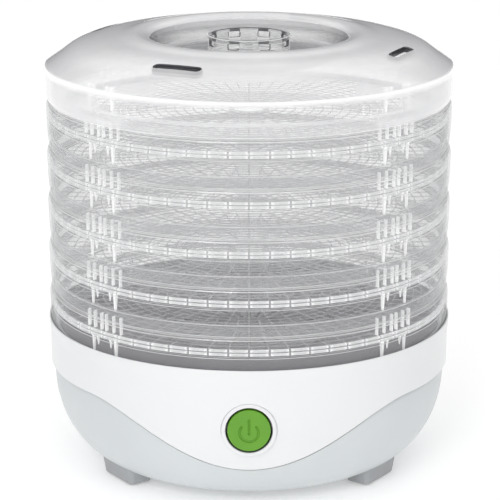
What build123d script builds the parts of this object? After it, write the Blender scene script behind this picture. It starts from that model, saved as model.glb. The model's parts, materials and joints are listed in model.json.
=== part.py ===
from build123d import *
import os
from math import asin, cos, degrees, pi, sin, sqrt

# Round stacking food dehydrator. Millimetres, +Z up, front at -Y.
# Origin: centre of the plane that the rubber feet stand on.

# Base ------------------------------------------------------------------
base_h = 109.0          # height of the ledge that the lowest tray stands on
floor_inset = 57.4      # the bowl turns up from its flat bottom this far inside the trays
bowl_inset = 3.1        # the lower housing's widest place inside the trays
bowl_top_drop = 31.5    # ledge down to where the bowl becomes vertical
bowl_foot = 6.3         # height of the bowl's bottom edge
housing_wall = 2.5
seam_drop = 24.0        # ledge down to the parting line, at the sides and the back
seam_dip = 46.0         # how far the parting line drops at the front
seam_half_deg = 52.0    # half the angle over which it drops
seam_gap = 0.4
belt_drop = 19.0        # ledge down to where the upper housing becomes vertical
shield_sink = 3.0       # the upper housing's outer ellipse ends this far below the feet
rim_wall = 1.3
rim_flare = 0.9         # the rim stands this far outside the collar
rim_over = 3.0          # the rim ends this far above the tray's tucked-in skirt
rim_slope_low = 2.0     # height above the ledge where the rim starts to flare
rim_slope_high = 8.0
flange_w = 10.0         # inner flange that carries the deck
flange_t = 2.5
flange_drop = 0.5       # spigot's inner step below the ledge

# Trays -----------------------------------------------------------------
tray_count = 5
tray_pitch = 38.3
tray_r = 162.4          # largest outer radius of a tray
seam_inset = 2.4        # how far the wall pulls in where two trays meet
skirt_inset = 0.9       # how far it is pulled in beside the rim of the base
skirt_top = 10.3        # height of that point above the tray's bottom edge
belly_z = 32.3          # height of the largest radius above the bottom edge
skirt_wall = 1.5
spigot_h = 9.3
spigot_wall = 2.2
fit_gap = 0.5           # radial clearance between a spigot and the skirt over it
stack_gap = 0.3         # vertical clearance between stacked pieces
shoulder_t = 2.0
grid_drop = 9.8         # top of the grid below the tray's shoulder
grid_t = 3.0
grid_ring_t = 5.0
grid_ring_w = 3.0
grid_bar = 1.5
grid_rings = 7
grid_bars = (12, 24, 48)        # bars inside the first, second and outer zones
hub_hole_r = 14.0
lug_center_deg = 45.7
lug_rib_offsets = (-6.8, -4.0, -1.0, 1.0, 4.0, 6.8)
lug_post_offset = 4.75
lug_spike_offset = 2.7
lug_w = 1.2
lug_depth = 3.0
lug_spike_len = 7.0
lug_root = 0.8          # the lid's lugs run this far into the dome

# Lid -------------------------------------------------------------------
lid_extra = 0.1         # lid stands this far outside the trays
lid_wall = 2.2
lid_side_h = 28.0       # height of the lid's straight wall
lid_crest_h = 24.4      # crest above the top of that wall
dish_r = 77.0           # radius of the finger dish at its lip
dish_floor_drop = 19.0  # dish floor below the crest
dish_slope_w = 12.0     # lip to floor
dish_lip_w = 3.5
dish_lip_h = 2.2
lid_flare_h = 7.0       # height of the curve from the lid's foot to its straight wall
slot_count = 4
slot_inset = 33.0       # middle of the slots inside the lid's edge
slot_len = 40.0
slot_w = 8.0
slot_turn_deg = -24.5
vent_inset = 5.6        # outside of the vent openings inside the dial
vent_web_deg = 45.0
vent_hub_r = 9.0
dial_pin_r = 3.0
dial_pin_h = 10.0

# Vent dial -------------------------------------------------------------
dial_r = 32.6
dial_wall = 2.2
dial_h = 16.6
dial_floor_t = 2.0
dial_rim_h = 3.0
dial_rim_extra = 0.7
dial_hub_r = 6.5
dial_hub_h = 6.0
dial_window_w = 10.0
dial_window_h = 5.0
dial_windows = 8
dial_rib_pitch = 1.9
dial_rib_out = 0.5
dial_run = 0.06         # running clearance of the dial on its pin
dial_clip_r = 5.5
dial_clip_t = 0.6

# Button and switch -----------------------------------------------------
button_drop = 34.5      # ledge down to the button's axis
button_r = 16.5
button_inset = 0.1      # button's face behind the rim of the base
button_gap = 1.6         # shadow gap between the cap and its bezel
button_wall = 1.8
button_skirt = 8.5
button_travel = 2.5
bezel_wall = 3.2
bezel_inset = 0.7       # bezel's face behind the rim of the base
bezel_depth = 14.6
bezel_round = 1.6
bezel_plate_t = 2.0
bezel_flange_w = 2.7    # flange outside the bezel's sleeve
bezel_flange_lap = 1.0  # and how far it reaches under the sleeve
bezel_gap = 0.2
well_lip = 2.0          # bezel's flange behind the well of the housing
stem_r = 4.0
stem_gap = 0.5
spring_r = 10.0
spring_wire_r = 0.6
spring_turns = 5
switch_w = 18.0
switch_h = 14.0
switch_len = 18.0
plunger_r = 2.6
plunger_gap = 0.3
plunger_len = 8.0       # length inside the switch at rest
plunger_over = 0.5      # plunger outside the switch when the button is pressed
symbol_r = 7.2
symbol_low = 1.5        # middle of the symbol's arc below the button's axis
symbol_w = 2.0
symbol_bar = 12.8
symbol_bar_mid = 2.9    # middle of the bar above the button's axis
symbol_depth = 0.6
symbol_gap_deg = 43.0

# Feet and housing fasteners --------------------------------------------
foot_angles = (-56.0, 56.0, 124.0, -124.0)
foot_names = ("front_left", "front_right", "rear_right", "rear_left")
foot_out = 13.0         # middle of the feet outside the bowl's flat bottom
foot_len = 46.0
foot_w = 24.0
foot_top = 18.0
foot_taper = 8.0
pad_t = 1.5
pad_len = 30.0
pad_w = 12.0
boss_r = 5.0
boss_top = 40.0
post_r = 4.5
screw_r = 1.5
screw_head_r = 3.2
screw_head_t = 2.0
screw_bite = 18.0
screw_clear = 0.4
pilot_clear = 0.05

# Bottom cover ----------------------------------------------------------
cover_inset = 5.0       # cover's edge inside the bowl's flat bottom
cover_t = 2.5
cover_lip = 12.0
intake_slots = 24
intake_in_r = 34.0
intake_out_r = 62.0
intake_w = 4.0
cover_screw_count = 4
cover_screw_inset = 6.0
cover_screw_len = 4.0

# Deck ------------------------------------------------------------------
deck_t = 2.5
deck_gap = 0.3
outlet_slots = 24
outlet_in_r = 20.0
outlet_out_r = 56.0
outlet_w = 3.2
deck_ring_r = 72.0
deck_ring_w = 2.0
deck_ring_h = 2.0

# Motor, fan and heater -------------------------------------------------
shaft_r = 2.0
shaft_low = 12.0
shaft_over = 3.0        # shaft above the fan's hub
stator_w = 60.0
stator_front = 18.0
stator_back = 38.0
stator_low = 26.0
stack_t = 20.0
stator_bore_r = 13.0
air_gap = 0.4
window_low = 16.0
window_high = 32.0
window_half = 20.0
coil_half = 17.0
coil_margin = 6.0
coil_over = 7.0
bracket_t = 2.0
bracket_rise = 7.0
bracket_half = 12.0
bracket_bridge = 16.0
bush_r = 5.0
bush_h = 6.0
shaft_run = 0.05
motor_post_r = 4.0
motor_screw_xy = ((-25.0, -13.0), (25.0, -13.0), (-25.0, 34.0), (25.0, 34.0))
fan_r = 60.0
fan_hub_r = 14.0
fan_hub_h = 15.0
fan_drop = 22.0         # heater's lower edge down to the fan's hub
fan_blades = 7
fan_chord = 30.0
fan_blade_t = 1.8
fan_pitch_deg = 32.0
fan_clip_r = 4.5
fan_clip_t = 1.0
duct_gap = 6.0          # fan blades to duct
duct_wall = 1.2
duct_low = 24.0
heater_drop = 26.0      # deck's underside down to the heater's lower edge
heater_h = 20.0
mica_t = 1.2
mica_gap = 0.1
heater_coil_rise = 6.0
heater_coil_radii = (25.0, 38.0, 51.0)
heater_coil_r = 2.0
heater_notch = 0.1
sensor_rise = 14.0
sensor_x = 18.0
thermostat_r = 5.0
thermostat_t = 5.0
fuse_r = 2.0
fuse_len = 12.0

# Wiring and cord entry -------------------------------------------------
lead_r = 1.3
terminal_out = 9.0      # middle of the terminal block outside the duct
terminal_w = 22.0
terminal_d = 12.0
terminal_h = 10.0
terminal_lift = 0.6      # above the bowl's floor, where the cover doesn't reach
gland_z = 42.0
gland_bore_r = 3.5
gland_r = 5.0
gland_flange_r = 8.0
gland_flange_t = 2.0
gland_gap = 0.2
gland_pad_r = 11.0
gland_len = 20.3        # inner end to the face of the pad
gland_proud = 0.3       # pad's face outside the bowl at its upper edge
gland_nut_r = 8.0
gland_nut_t = 4.0
gland_tail = 1.0

# Worked out from the values above --------------------------------------
floor_r = tray_r - floor_inset
bowl_r = tray_r - bowl_inset
bowl_top = base_h - bowl_top_drop
seam_z = base_h - seam_drop
belt_z = base_h - belt_drop
shield_depth = belt_z + shield_sink
seam_r = tray_r - seam_inset
skirt_r = tray_r - skirt_inset
spigot_r = seam_r - skirt_wall - fit_gap
spigot_in_r = spigot_r - spigot_wall
grid_seat_r = seam_r
grid_top = tray_pitch - grid_drop
rim_in_r = skirt_r + fit_gap
rim_r = rim_in_r + rim_wall
collar_r = rim_r - rim_flare
rim_h = skirt_top + rim_over
deck_z = base_h - flange_t - flange_drop
lid_r = tray_r + lid_extra
lid_z = base_h + tray_count * tray_pitch
crest_z = lid_z + lid_side_h + lid_crest_h
dish_z = crest_z - dish_floor_drop
dish_floor_r = dish_r - dish_slope_w
slot_r = lid_r - slot_inset
vent_r = dial_r - vent_inset
button_z = base_h - button_drop
button_front = rim_r - button_inset
bezel_r = button_r + button_gap + bezel_wall
bezel_flange_r = bezel_r + bezel_flange_w
bezel_front = rim_r - bezel_inset
bezel_back = bezel_front - bezel_depth
well_back = bezel_back + well_lip
stem_end = bezel_back + button_travel + plunger_over
foot_circle_r = floor_r + foot_out
cover_r = floor_r - cover_inset
cover_top = bowl_foot + cover_t
floor_top = bowl_foot + 2 * housing_wall
cover_screw_circle_r = cover_r - cover_screw_inset
duct_r = fan_r + duct_gap
heater_low = deck_z - heater_drop
heater_coil_z = heater_low + heater_coil_rise
sensor_z = heater_low + sensor_rise
fan_low = heater_low - fan_drop
shaft_top = fan_low + fan_hub_h + shaft_over
bearing_low = stator_low - bracket_rise
terminal_y = duct_r + terminal_out
terminal_on_cover = terminal_y + terminal_d / 2 < cover_r - cover_lip
terminal_foot = cover_top if terminal_on_cover else floor_top + terminal_lift


def bowl_radius(z):
    """Outside radius of the lower housing at a height below the top of its ellipse."""
    rise = (bowl_top - z) / (bowl_top - bowl_foot)
    return floor_r + (bowl_r - floor_r) * sqrt(1 - rise ** 2)


gland_out = bowl_radius(gland_z + gland_pad_r) + gland_proud
gland_in = gland_out - gland_len


def disc(radius, low, high):
    return Pos(0, 0, low) * extrude(Circle(radius), high - low)


def ring(inner, outer, low, high):
    return Pos(0, 0, low) * extrude(Circle(outer) - Circle(inner), high - low)


def box(x, y, z):
    """Box between pairs of coordinates."""
    size = (x[1] - x[0], y[1] - y[0], z[1] - z[0])
    return Pos((x[0] + x[1]) / 2, (y[0] + y[1]) / 2, (z[0] + z[1]) / 2) * Box(*size)


def lathe(edges):
    """Solid turned about Z from a closed outline of edges in (radius, height)."""
    return revolve(Plane.XZ * make_face(edges), Axis.Z)


def outline(*points):
    return Polyline(*points, close=True)


def path(*points):
    return Polyline(*points)


def turned(angle, shape):
    """Turns a shape built on the front axis (-Y) to an angle, positive towards +X."""
    return Rot(0, 0, angle) * shape


def rod_y(radius, start, end, z=0.0, x=0.0):
    """Cylinder along Y between two distances in front (negative) or behind."""
    plane = Plane(origin=(x, start, z), z_dir=(0, 1, 0))
    return plane * extrude(Circle(radius), end - start)


def front_drum(radius, front, back):
    """Cylinder on the button's axis, between two distances in front of the origin."""
    return rod_y(radius, -front, -back, button_z)


# Base housings ---------------------------------------------------------
def bowl_solid(inset):
    """The lower housing's outside filled in, or its inside with the wall as the inset."""
    lift = 2 * inset
    radius = bowl_r - floor_r - inset
    arc = EllipticalCenterArc((floor_r, bowl_top), radius, bowl_top - bowl_foot - lift, 270, arc_size=90)
    top = path((bowl_r - inset, bowl_top), (bowl_r - inset, belt_z), (0, belt_z),
               (0, bowl_foot + lift), (floor_r, bowl_foot + lift))
    return lathe(Curve() + [arc, top])


def seam_keep(drop):
    """Everything above the parting line: level round the back, one smooth dip at the front."""
    reach = 2 * tray_r
    steps = range(-4, 5)
    bend = [seam_half_deg * pi / 180 * k / 4 for k in steps]
    points = [(bowl_r * sin(a), seam_z - drop - seam_dip / 2 * (1 + cos(pi * k / 4)))
              for a, k in zip(bend, steps)]
    dip = Spline(*points, tangents=[(1, 0), (1, 0)])
    level = seam_z - drop
    rest = path(points[-1], (reach, level), (reach, 2 * base_h), (-reach, 2 * base_h),
                (-reach, level), points[0])
    front = extrude(Plane.XZ * make_face(Curve() + [dip, rest]), reach)
    return front + box((-reach, reach), (0, reach), (level, 2 * base_h))


def collar_edges():
    """Outside and inside of the upper housing, with rim, ledge, spigot and deck flange."""
    inner_r = collar_r - housing_wall
    outer = EllipticalCenterArc((floor_r, belt_z), collar_r - floor_r, shield_depth, 270, arc_size=90)
    inner = EllipticalCenterArc((floor_r, belt_z), inner_r - floor_r,
                                shield_depth - housing_wall, 270, arc_size=90)
    crown = base_h + rim_h - rim_wall / 2
    side = path((collar_r, belt_z), (collar_r, base_h + rim_slope_low),
                (rim_r, base_h + rim_slope_high), (rim_r, crown))
    top = ThreePointArc((rim_r, crown), (rim_r - rim_wall / 2, base_h + rim_h), (rim_in_r, crown))
    shelf = path((rim_in_r, crown), (rim_in_r, base_h), (spigot_r, base_h),
                 (spigot_r, base_h + spigot_h), (spigot_in_r, base_h + spigot_h),
                 (spigot_in_r, deck_z), (inner_r - flange_w, deck_z),
                 (inner_r - flange_w, deck_z - flange_t), (inner_r, deck_z - flange_t),
                 (inner_r, belt_z))
    foot = path((floor_r, belt_z - shield_depth + housing_wall),
                (floor_r, belt_z - shield_depth))
    return Curve() + [outer, side, top, shelf, inner, foot]


def base_upper_housing():
    shell = lathe(collar_edges()) & seam_keep(0)
    well = front_drum(bezel_flange_r, bezel_front, well_back) & inside_of_collar()
    hole = front_drum(bezel_r + bezel_gap, 2 * tray_r, 0)
    return (shell + well) - hole


def inside_of_collar():
    """The upper housing filled in up to its inner face, to trim the button well."""
    inner_r = collar_r - housing_wall / 2
    depth = shield_depth - housing_wall / 2
    arc = EllipticalCenterArc((floor_r, belt_z), inner_r - floor_r, depth, 270, arc_size=90)
    rest = path((inner_r, belt_z), (inner_r, deck_z - flange_t), (0, deck_z - flange_t),
                (0, belt_z - depth), (floor_r, belt_z - depth))
    return lathe(Curve() + [arc, rest])


def base_lower_housing():
    shell = bowl_solid(0) - bowl_solid(housing_wall)
    shell -= disc(cover_r + seam_gap, 0, cover_top)
    shell -= disc(cover_r - cover_lip, 0, base_h)
    for angle in foot_angles:
        boss = Pos(0, -foot_circle_r, bowl_foot) * extrude(Circle(boss_r), boss_top - bowl_foot)
        shell += turned(angle, boss) & bowl_solid(0)
    shell += rod_y(gland_pad_r, gland_in + gland_nut_t, gland_out, gland_z)
    shell -= rod_y(gland_r + gland_gap, gland_in - gland_nut_t, 2 * tray_r, gland_z)
    for angle in foot_angles:
        shell -= turned(angle, Pos(0, -foot_circle_r, 0) * Cylinder(screw_r + screw_clear, 3 * boss_top))
    for hole in cover_screw_places(screw_r + pilot_clear, cover_top - 1, cover_top + cover_t + 1):
        shell -= hole
    return shell - seam_keep(seam_gap)


def cover_screw_places(radius, low, high):
    """Cylinders at the bottom cover's screws."""
    shank = Pos(0, -cover_screw_circle_r, low) * extrude(Circle(radius), high - low)
    return [turned(360 / cover_screw_count * k, shank) for k in range(cover_screw_count)]


def radial_slots(count, inner, outer, width, low, high):
    slot = Pos(0, -(inner + outer) / 2, low) * extrude(
        SlotOverall(outer - inner, width, rotation=90), high - low)
    return [turned(360 / count * k, slot) for k in range(count)]


def bottom_cover():
    plate = disc(cover_r, bowl_foot, cover_top)
    plate -= radial_slots(intake_slots, intake_in_r, intake_out_r, intake_w, 0, cover_top + 1)
    plate -= cover_screw_places(screw_r + screw_clear, 0, cover_top + 1)
    for x, y in motor_screw_xy:
        seat = stator_low - (bracket_t if y < window_low else 0)
        post = Pos(x, y, bowl_foot) * extrude(Circle(motor_post_r), seat - bowl_foot)
        pilot = Pos(x, y, cover_top) * extrude(Circle(screw_r + pilot_clear), stator_low)
        plate = plate + post - pilot
    return plate


def cover_screws():
    shanks = cover_screw_places(screw_r, bowl_foot, bowl_foot + cover_screw_len)
    heads = cover_screw_places(screw_head_r, bowl_foot - screw_head_t, bowl_foot)
    return Compound(children=[(a + b).solid() for a, b in zip(shanks, heads)])


def deck_plate():
    """Heat-proof deck with the warm air outlet, a drip ring and four fixing posts."""
    plate = disc(spigot_in_r - deck_gap, deck_z, deck_z + deck_t)
    plate += ring(deck_ring_r, deck_ring_r + deck_ring_w, deck_z, deck_z + deck_t + deck_ring_h)
    for angle in foot_angles:
        post = Pos(0, -foot_circle_r, boss_top) * extrude(Circle(post_r), deck_z + 1 - boss_top)
        pilot = Pos(0, -foot_circle_r, boss_top) * extrude(
            Circle(screw_r + pilot_clear), screw_bite + 2)
        plate = plate + turned(angle, post) - turned(angle, pilot)
    return plate - radial_slots(outlet_slots, outlet_in_r, outlet_out_r, outlet_w,
                                deck_z - 1, deck_z + deck_t + 1)


def foot(angle):
    top = RectangleRounded(foot_len, foot_w, 5)
    block = Pos(0, -foot_circle_r, foot_top) * extrude(
        top, foot_top - pad_t, dir=(0, 0, -1), taper=foot_taper)
    bore = Pos(0, -foot_circle_r, 0) * Cylinder(screw_r + screw_clear, 2 * foot_top)
    sink = Pos(0, -foot_circle_r, pad_t) * extrude(Circle(screw_head_r + screw_clear), screw_head_t + 0.5)
    return turned(angle, block - bowl_solid(0) - bore - sink)


def foot_pad(angle):
    pad = Pos(0, -foot_circle_r, 0) * extrude(RectangleRounded(pad_len, pad_w, 4), pad_t)
    return turned(angle, pad)


def housing_screws():
    low = pad_t + 0.5
    solids = []
    for angle in foot_angles:
        head = Pos(0, -foot_circle_r, low) * extrude(Circle(screw_head_r), screw_head_t)
        shank = Pos(0, -foot_circle_r, low) * extrude(Circle(screw_r), boss_top + screw_bite - low)
        solids.append(turned(angle, head + shank).solid())
    return Compound(children=solids)


# Button and switch -----------------------------------------------------
def button_bezel():
    sleeve = front_drum(bezel_r, bezel_front, bezel_back) - front_drum(
        button_r + button_gap, bezel_front + 1, bezel_back + bezel_plate_t)
    sleeve += front_drum(bezel_flange_r, well_back, bezel_back) - front_drum(
        bezel_r - bezel_flange_lap, well_back + 1, bezel_back - 1)
    sleeve -= front_drum(stem_r + stem_gap, bezel_front, bezel_back - 1)
    face = sleeve.faces().sort_by(Axis.Y)[0]
    rims = face.edges().sort_by(SortBy.LENGTH)
    sleeve = fillet(rims[-1], bezel_round)
    return sleeve


def button_cap():
    cap = front_drum(button_r, button_front, button_front - button_skirt)
    face = cap.faces().sort_by(Axis.Y)[0]
    cap = fillet(face.edges(), 1.2)
    cap -= front_drum(button_r - button_wall, button_front - 2 * button_wall,
                      button_front - button_skirt - 1)
    cap += front_drum(stem_r, button_front - button_wall, stem_end)
    plane = Plane(origin=(0, -button_front, button_z), x_dir=(1, 0, 0), z_dir=(0, -1, 0))
    arc = CenterArc((0, -symbol_low), symbol_r, 90 + symbol_gap_deg, 360 - 2 * symbol_gap_deg)
    groove = SlotArc(arc, symbol_w) + Pos(0, symbol_bar_mid) * SlotOverall(
        symbol_bar, symbol_w, rotation=90)
    return cap - plane * extrude(groove, -symbol_depth)


def button_spring():
    start = bezel_back + bezel_plate_t + spring_wire_r
    end = button_front - 2 * button_wall - spring_wire_r
    pitch = (end - start) / spring_turns
    coil = Helix(pitch, end - start, spring_r)
    wire = sweep(Plane(coil @ 0, z_dir=coil % 0) * Circle(spring_wire_r), coil)
    return Plane(origin=(0, -start, button_z), z_dir=(0, -1, 0)) * wire


def switch_body():
    high = (button_z - switch_h / 2, button_z + switch_h / 2)
    body = box((-switch_w / 2, switch_w / 2), (-bezel_back, switch_len - bezel_back), high)
    depth = bezel_back - plunger_len - button_travel - 1
    return body - front_drum(plunger_r + plunger_gap, bezel_back + 1, depth)


def switch_plunger():
    return front_drum(plunger_r, stem_end, bezel_back - plunger_len)


# Trays -----------------------------------------------------------------
def lug(offset, width, radius, depth, low, high):
    piece = box((-width / 2, width / 2), (-radius, depth - radius), (low, high))
    places = [sign * lug_center_deg + offset for sign in (-1, 1)]
    places += [180 - sign * lug_center_deg + offset for sign in (-1, 1)]
    return [turned(angle, piece) for angle in places]


def stacking_lugs(bottom, root):
    """Two posts and two short spikes at each of four places, down to the spigot below."""
    lugs = []
    for side in (-1, 1):
        lugs += lug(side * lug_post_offset, 2 * lug_w, spigot_r, lug_depth, bottom, root)
        lugs += lug(side * lug_spike_offset, lug_w, spigot_r, lug_depth, root - lug_spike_len, root)
    return lugs


def tray_wall():
    top = tray_pitch - stack_gap
    lower = Spline((seam_r, 0), (skirt_r, skirt_top), (tray_r, belly_z), tangents=[(0.3, 1), (0, 1)])
    upper = EllipticalCenterArc((seam_r, belly_z), seam_inset, top - belly_z, 0, arc_size=90)
    rest = path((seam_r, top), (spigot_r, top), (spigot_r, top + spigot_h),
                (spigot_in_r, top + spigot_h), (spigot_in_r, top - shoulder_t),
                (grid_seat_r, top - shoulder_t), (grid_seat_r, spigot_h + fit_gap + skirt_wall),
                (seam_r - skirt_wall, spigot_h + fit_gap), (seam_r - skirt_wall, 0), (seam_r, 0))
    wall = lathe(Curve() + [lower, upper, rest])
    wall += ring(grid_seat_r - grid_ring_w, grid_seat_r + 0.5,
                 grid_top - grid_ring_t - shoulder_t, grid_top - grid_ring_t)
    for offset in lug_rib_offsets:
        wall += lug(offset, lug_w, spigot_r, spigot_wall + 1, grid_top, top + spigot_h / 2)
    wall += stacking_lugs(spigot_h, grid_top - grid_ring_t)
    return wall


def grid_cell(inner, outer, bars, index):
    """Opening between two rings and two neighbouring bars."""
    step = 360 / bars
    low, high = inner + grid_bar / 2, outer - grid_bar / 2
    trim_low = degrees(asin(grid_bar / 2 / low))
    trim_high = degrees(asin(grid_bar / 2 / high))
    start = step * index
    a = CenterArc((0, 0), low, start + trim_low, step - 2 * trim_low)
    b = CenterArc((0, 0), high, start + trim_high, step - 2 * trim_high)
    return Wire([a, Line(a @ 1, b @ 1), b, Line(b @ 0, a @ 0)])


def tray_grid():
    """Food grid: rings and radial bars that double in number outwards."""
    inner, outer = hub_hole_r + grid_bar, grid_seat_r - grid_ring_w
    pitch = (outer - inner) / grid_rings
    holes = [Wire([Edge.make_circle(hub_hole_r)])]
    for k in range(grid_rings):
        bars = grid_bars[min(k // 2, 2)]
        low = inner + k * pitch
        for index in range(bars):
            holes.append(grid_cell(low, low + pitch, bars, index))
    sheet = Face(Wire([Edge.make_circle(grid_seat_r)]), holes)
    grid = Pos(0, 0, grid_top - grid_t) * extrude(sheet, grid_t, dir=(0, 0, 1))
    return grid + ring(outer + grid_bar / 2, grid_seat_r, grid_top - grid_ring_t, grid_top - grid_t)


def tray_place(number):
    """Trays are numbered from the top; each stands on the spigot below it."""
    return Pos(0, 0, base_h + stack_gap + (tray_count - number) * tray_pitch)


# Lid and vent dial -----------------------------------------------------
def dome_line(drop, side):
    """Dome from the top of the straight wall over the crest and down into the dish."""
    top = lid_z + lid_side_h
    span = lid_r - dish_r
    rise = ((0.889, 0.27), (0.76, 0.57), (0.561, 0.79), (0.3275, 0.918), (0.129, 1.0))
    points = [(side, top - drop)]
    points += [(dish_r + across * span, top + up * lid_crest_h - drop) for across, up in rise]
    points += [(dish_r + dish_lip_w, crest_z - dish_lip_h - drop),
               (dish_r, crest_z - 3 * dish_lip_h - drop),
               ((dish_r + dish_floor_r) / 2, dish_z + dish_lip_h - drop), (dish_floor_r, dish_z - drop)]
    return Spline(*points, tangents=[(-0.5, 1), (-1, 0)])


def lid():
    low = lid_z + stack_gap
    side_in = lid_r - lid_wall
    outer, inner = dome_line(0, lid_r), dome_line(lid_wall, side_in)
    foot_in = seam_r - skirt_wall
    wall = path(inner @ 0, (side_in, low + spigot_h + fit_gap + skirt_wall),
                (foot_in, low + spigot_h + fit_gap), (foot_in, low), (seam_r, low))
    flare = Spline((seam_r, low), (lid_r, low + lid_flare_h), tangents=[(0.6, 1), (0, 1)])
    side = Line((lid_r, low + lid_flare_h), outer @ 0)
    floor = path(outer @ 1, (0, dish_z), (0, dish_z - lid_wall), inner @ 1)
    shell = lathe(Curve() + [outer, floor, inner, wall, flare, side])
    cut = Pos(0, -slot_r, dish_z) * extrude(SlotOverall(slot_len, slot_w), crest_z)
    for k in range(slot_count):
        shell -= turned(slot_turn_deg + 360 / slot_count * k, cut)
    shell -= vent_sectors(dish_z - lid_wall - 1, dish_z + 1)
    shell += disc(dial_pin_r, dish_z - lid_wall, dish_z + dial_pin_h)
    return shell + stacking_lugs(low + spigot_h, lid_z + lid_side_h + lid_wall + lug_root)


def vent_sectors(low, high):
    """Four openings round the hub, as wide as the webs between them."""
    count = round(180 / vent_web_deg)
    sectors = []
    for k in range(count):
        a = CenterArc((0, 0), vent_hub_r, 2 * vent_web_deg * k, vent_web_deg)
        b = CenterArc((0, 0), vent_r, 2 * vent_web_deg * k, vent_web_deg)
        loop = Wire([a, Line(a @ 1, b @ 1), b, Line(b @ 0, a @ 0)])
        sectors.append(Pos(0, 0, low) * extrude(Face(loop), high - low, dir=(0, 0, 1)))
    return sectors


def vent_dial():
    low = dish_z + stack_gap
    top = low + dial_h
    dial = ring(dial_r - dial_wall, dial_r, low, top)
    dial += ring(dial_r - dial_wall, dial_r + dial_rim_extra, top - dial_rim_h, top)
    ribs = int((dial_h - dial_rim_h - 2) / dial_rib_pitch)
    for k in range(ribs):
        z = low + 1.2 + k * dial_rib_pitch
        dial += ring(dial_r - dial_wall / 2, dial_r + dial_rib_out, z, z + dial_rib_pitch / 2)
    window_z = top - dial_rim_h - dial_window_h
    window = box((-dial_window_w / 2, dial_window_w / 2), (-2 * dial_r, -dial_r / 2),
                 (window_z, window_z + dial_window_h))
    for k in range(dial_windows):
        dial -= turned(360 / dial_windows * (k + 0.5), window)
    dial += disc(dial_r - dial_wall, low, low + dial_floor_t) - Compound(
        children=[s.solid() for s in vent_sectors(low - 1, low + dial_floor_t + 1)])
    dial += disc(dial_hub_r, low, low + dial_hub_h)
    return dial - disc(dial_pin_r + dial_run, low - 1, low + dial_hub_h + 1)


def dial_clip():
    low = dish_z + stack_gap + dial_hub_h + stack_gap
    return ring(dial_pin_r, dial_clip_r, low, low + dial_clip_t)


# Motor, fan and heater -------------------------------------------------
def motor_stator():
    high = stator_low + stack_t
    core = box((-stator_w / 2, stator_w / 2), (-stator_front, stator_back), (stator_low, high))
    core -= box((-window_half, window_half), (window_low, window_high), (stator_low - 1, high + 1))
    core -= disc(stator_bore_r, stator_low - 1, high + 1)
    for x, y in motor_screw_xy:
        core -= Pos(x, y, stator_low + stack_t / 2) * Cylinder(screw_r + screw_clear, 2 * stack_t)
    return core


def motor_coil():
    high = stator_low + stack_t
    coil = box((-coil_half, coil_half), (window_high - coil_margin, stator_back + coil_margin),
               (stator_low - coil_over, high + coil_over))
    coil = fillet(coil.edges().filter_by(Axis.X), 3)
    leg = box((-stator_w, stator_w), (window_high, stator_back), (stator_low, high))
    return coil - leg


def motor_bracket(face, rise):
    """Pressed bridge over the rotor; rise is positive above the stator, negative below it."""
    sign = 1 if rise > 0 else -1
    t = sign * bracket_t
    half, bridge = stator_w / 2, bracket_bridge
    shape = outline((-half, face), (-half, face + t), (-bridge - 4, face + t), (-bridge, face + rise + t),
                    (bridge, face + rise + t), (bridge + 4, face + t), (half, face + t), (half, face),
                    (bridge + 4 - bracket_t, face), (bridge - bracket_t, face + rise),
                    (bracket_t - bridge, face + rise), (bracket_t - bridge - 4, face))
    plate = extrude(Plane.XZ * make_face(shape), stator_front)
    plate += Pos(0, bracket_half, 0) * extrude(Plane.XZ * make_face(shape), bracket_half)
    for x, y in motor_screw_xy:
        plate -= Pos(x, y, face) * Cylinder(screw_r + screw_clear, 4 * bracket_rise)
    return plate - Pos(0, 0, face + rise) * Cylinder(bush_r, 4 * bracket_t)


def bush(low):
    return ring(shaft_r + shaft_run, bush_r, low, low + bush_h)


def motor_screws():
    top = stator_low + stack_t
    solids = []
    for x, y in motor_screw_xy:
        seat = top + (bracket_t if y < window_low else 0)
        head = Pos(x, y, seat) * extrude(Circle(screw_head_r), screw_head_t)
        shank = Pos(x, y, cover_top + 2) * extrude(Circle(screw_r), seat - cover_top - 1)
        solids.append((head + shank).solid())
    return Compound(children=solids)


def fan_impeller():
    top = fan_low + fan_hub_h
    hub = disc(fan_hub_r, fan_low, top) - disc(fan_hub_r - 3, fan_low - 1, top - 3)
    hub += disc(2 * shaft_r, fan_low, top)
    middle = (fan_hub_r + fan_r) / 2
    blade = Pos(0, -middle, fan_low + fan_hub_h / 2) * Rot(0, fan_pitch_deg, 0) * Box(
        fan_chord * 0.8, fan_r - fan_hub_r + 4, fan_blade_t)
    blade &= ring(fan_hub_r - 1, fan_r, fan_low - fan_hub_h, top + fan_hub_h)
    for k in range(fan_blades):
        hub += turned(360 / fan_blades * k, blade)
    return hub - disc(shaft_r, fan_low - 1, top + 1)


def heater_frame():
    high = heater_low + heater_h
    reach = duct_r - mica_gap
    boards = box((-reach, reach), (-mica_t / 2, mica_t / 2), (heater_low, high))
    boards += box((-mica_t / 2, mica_t / 2), (-reach, reach), (heater_low, high))
    for radius in heater_coil_radii:
        boards -= Pos(0, 0, heater_coil_z) * Torus(radius, heater_coil_r + heater_notch)
    return boards


def heater_coil():
    rings = [Pos(0, 0, heater_coil_z) * Torus(radius, heater_coil_r) for radius in heater_coil_radii]
    return Compound(children=[r.solid() for r in rings])


def air_duct():
    shell = ring(duct_r, duct_r + duct_wall, duct_low, deck_z)
    return shell - rod_y(2 * lead_r, duct_r / 2, 2 * duct_r, heater_coil_z, -lead_x())


def thermostat():
    return rod_y(thermostat_r, mica_t / 2, mica_t / 2 + thermostat_t, sensor_z, sensor_x)


def thermal_fuse():
    plane = Plane(origin=(-sensor_x - fuse_len / 2, mica_t / 2 + fuse_r, sensor_z), z_dir=(1, 0, 0))
    return plane * extrude(Circle(fuse_r), fuse_len)


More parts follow.
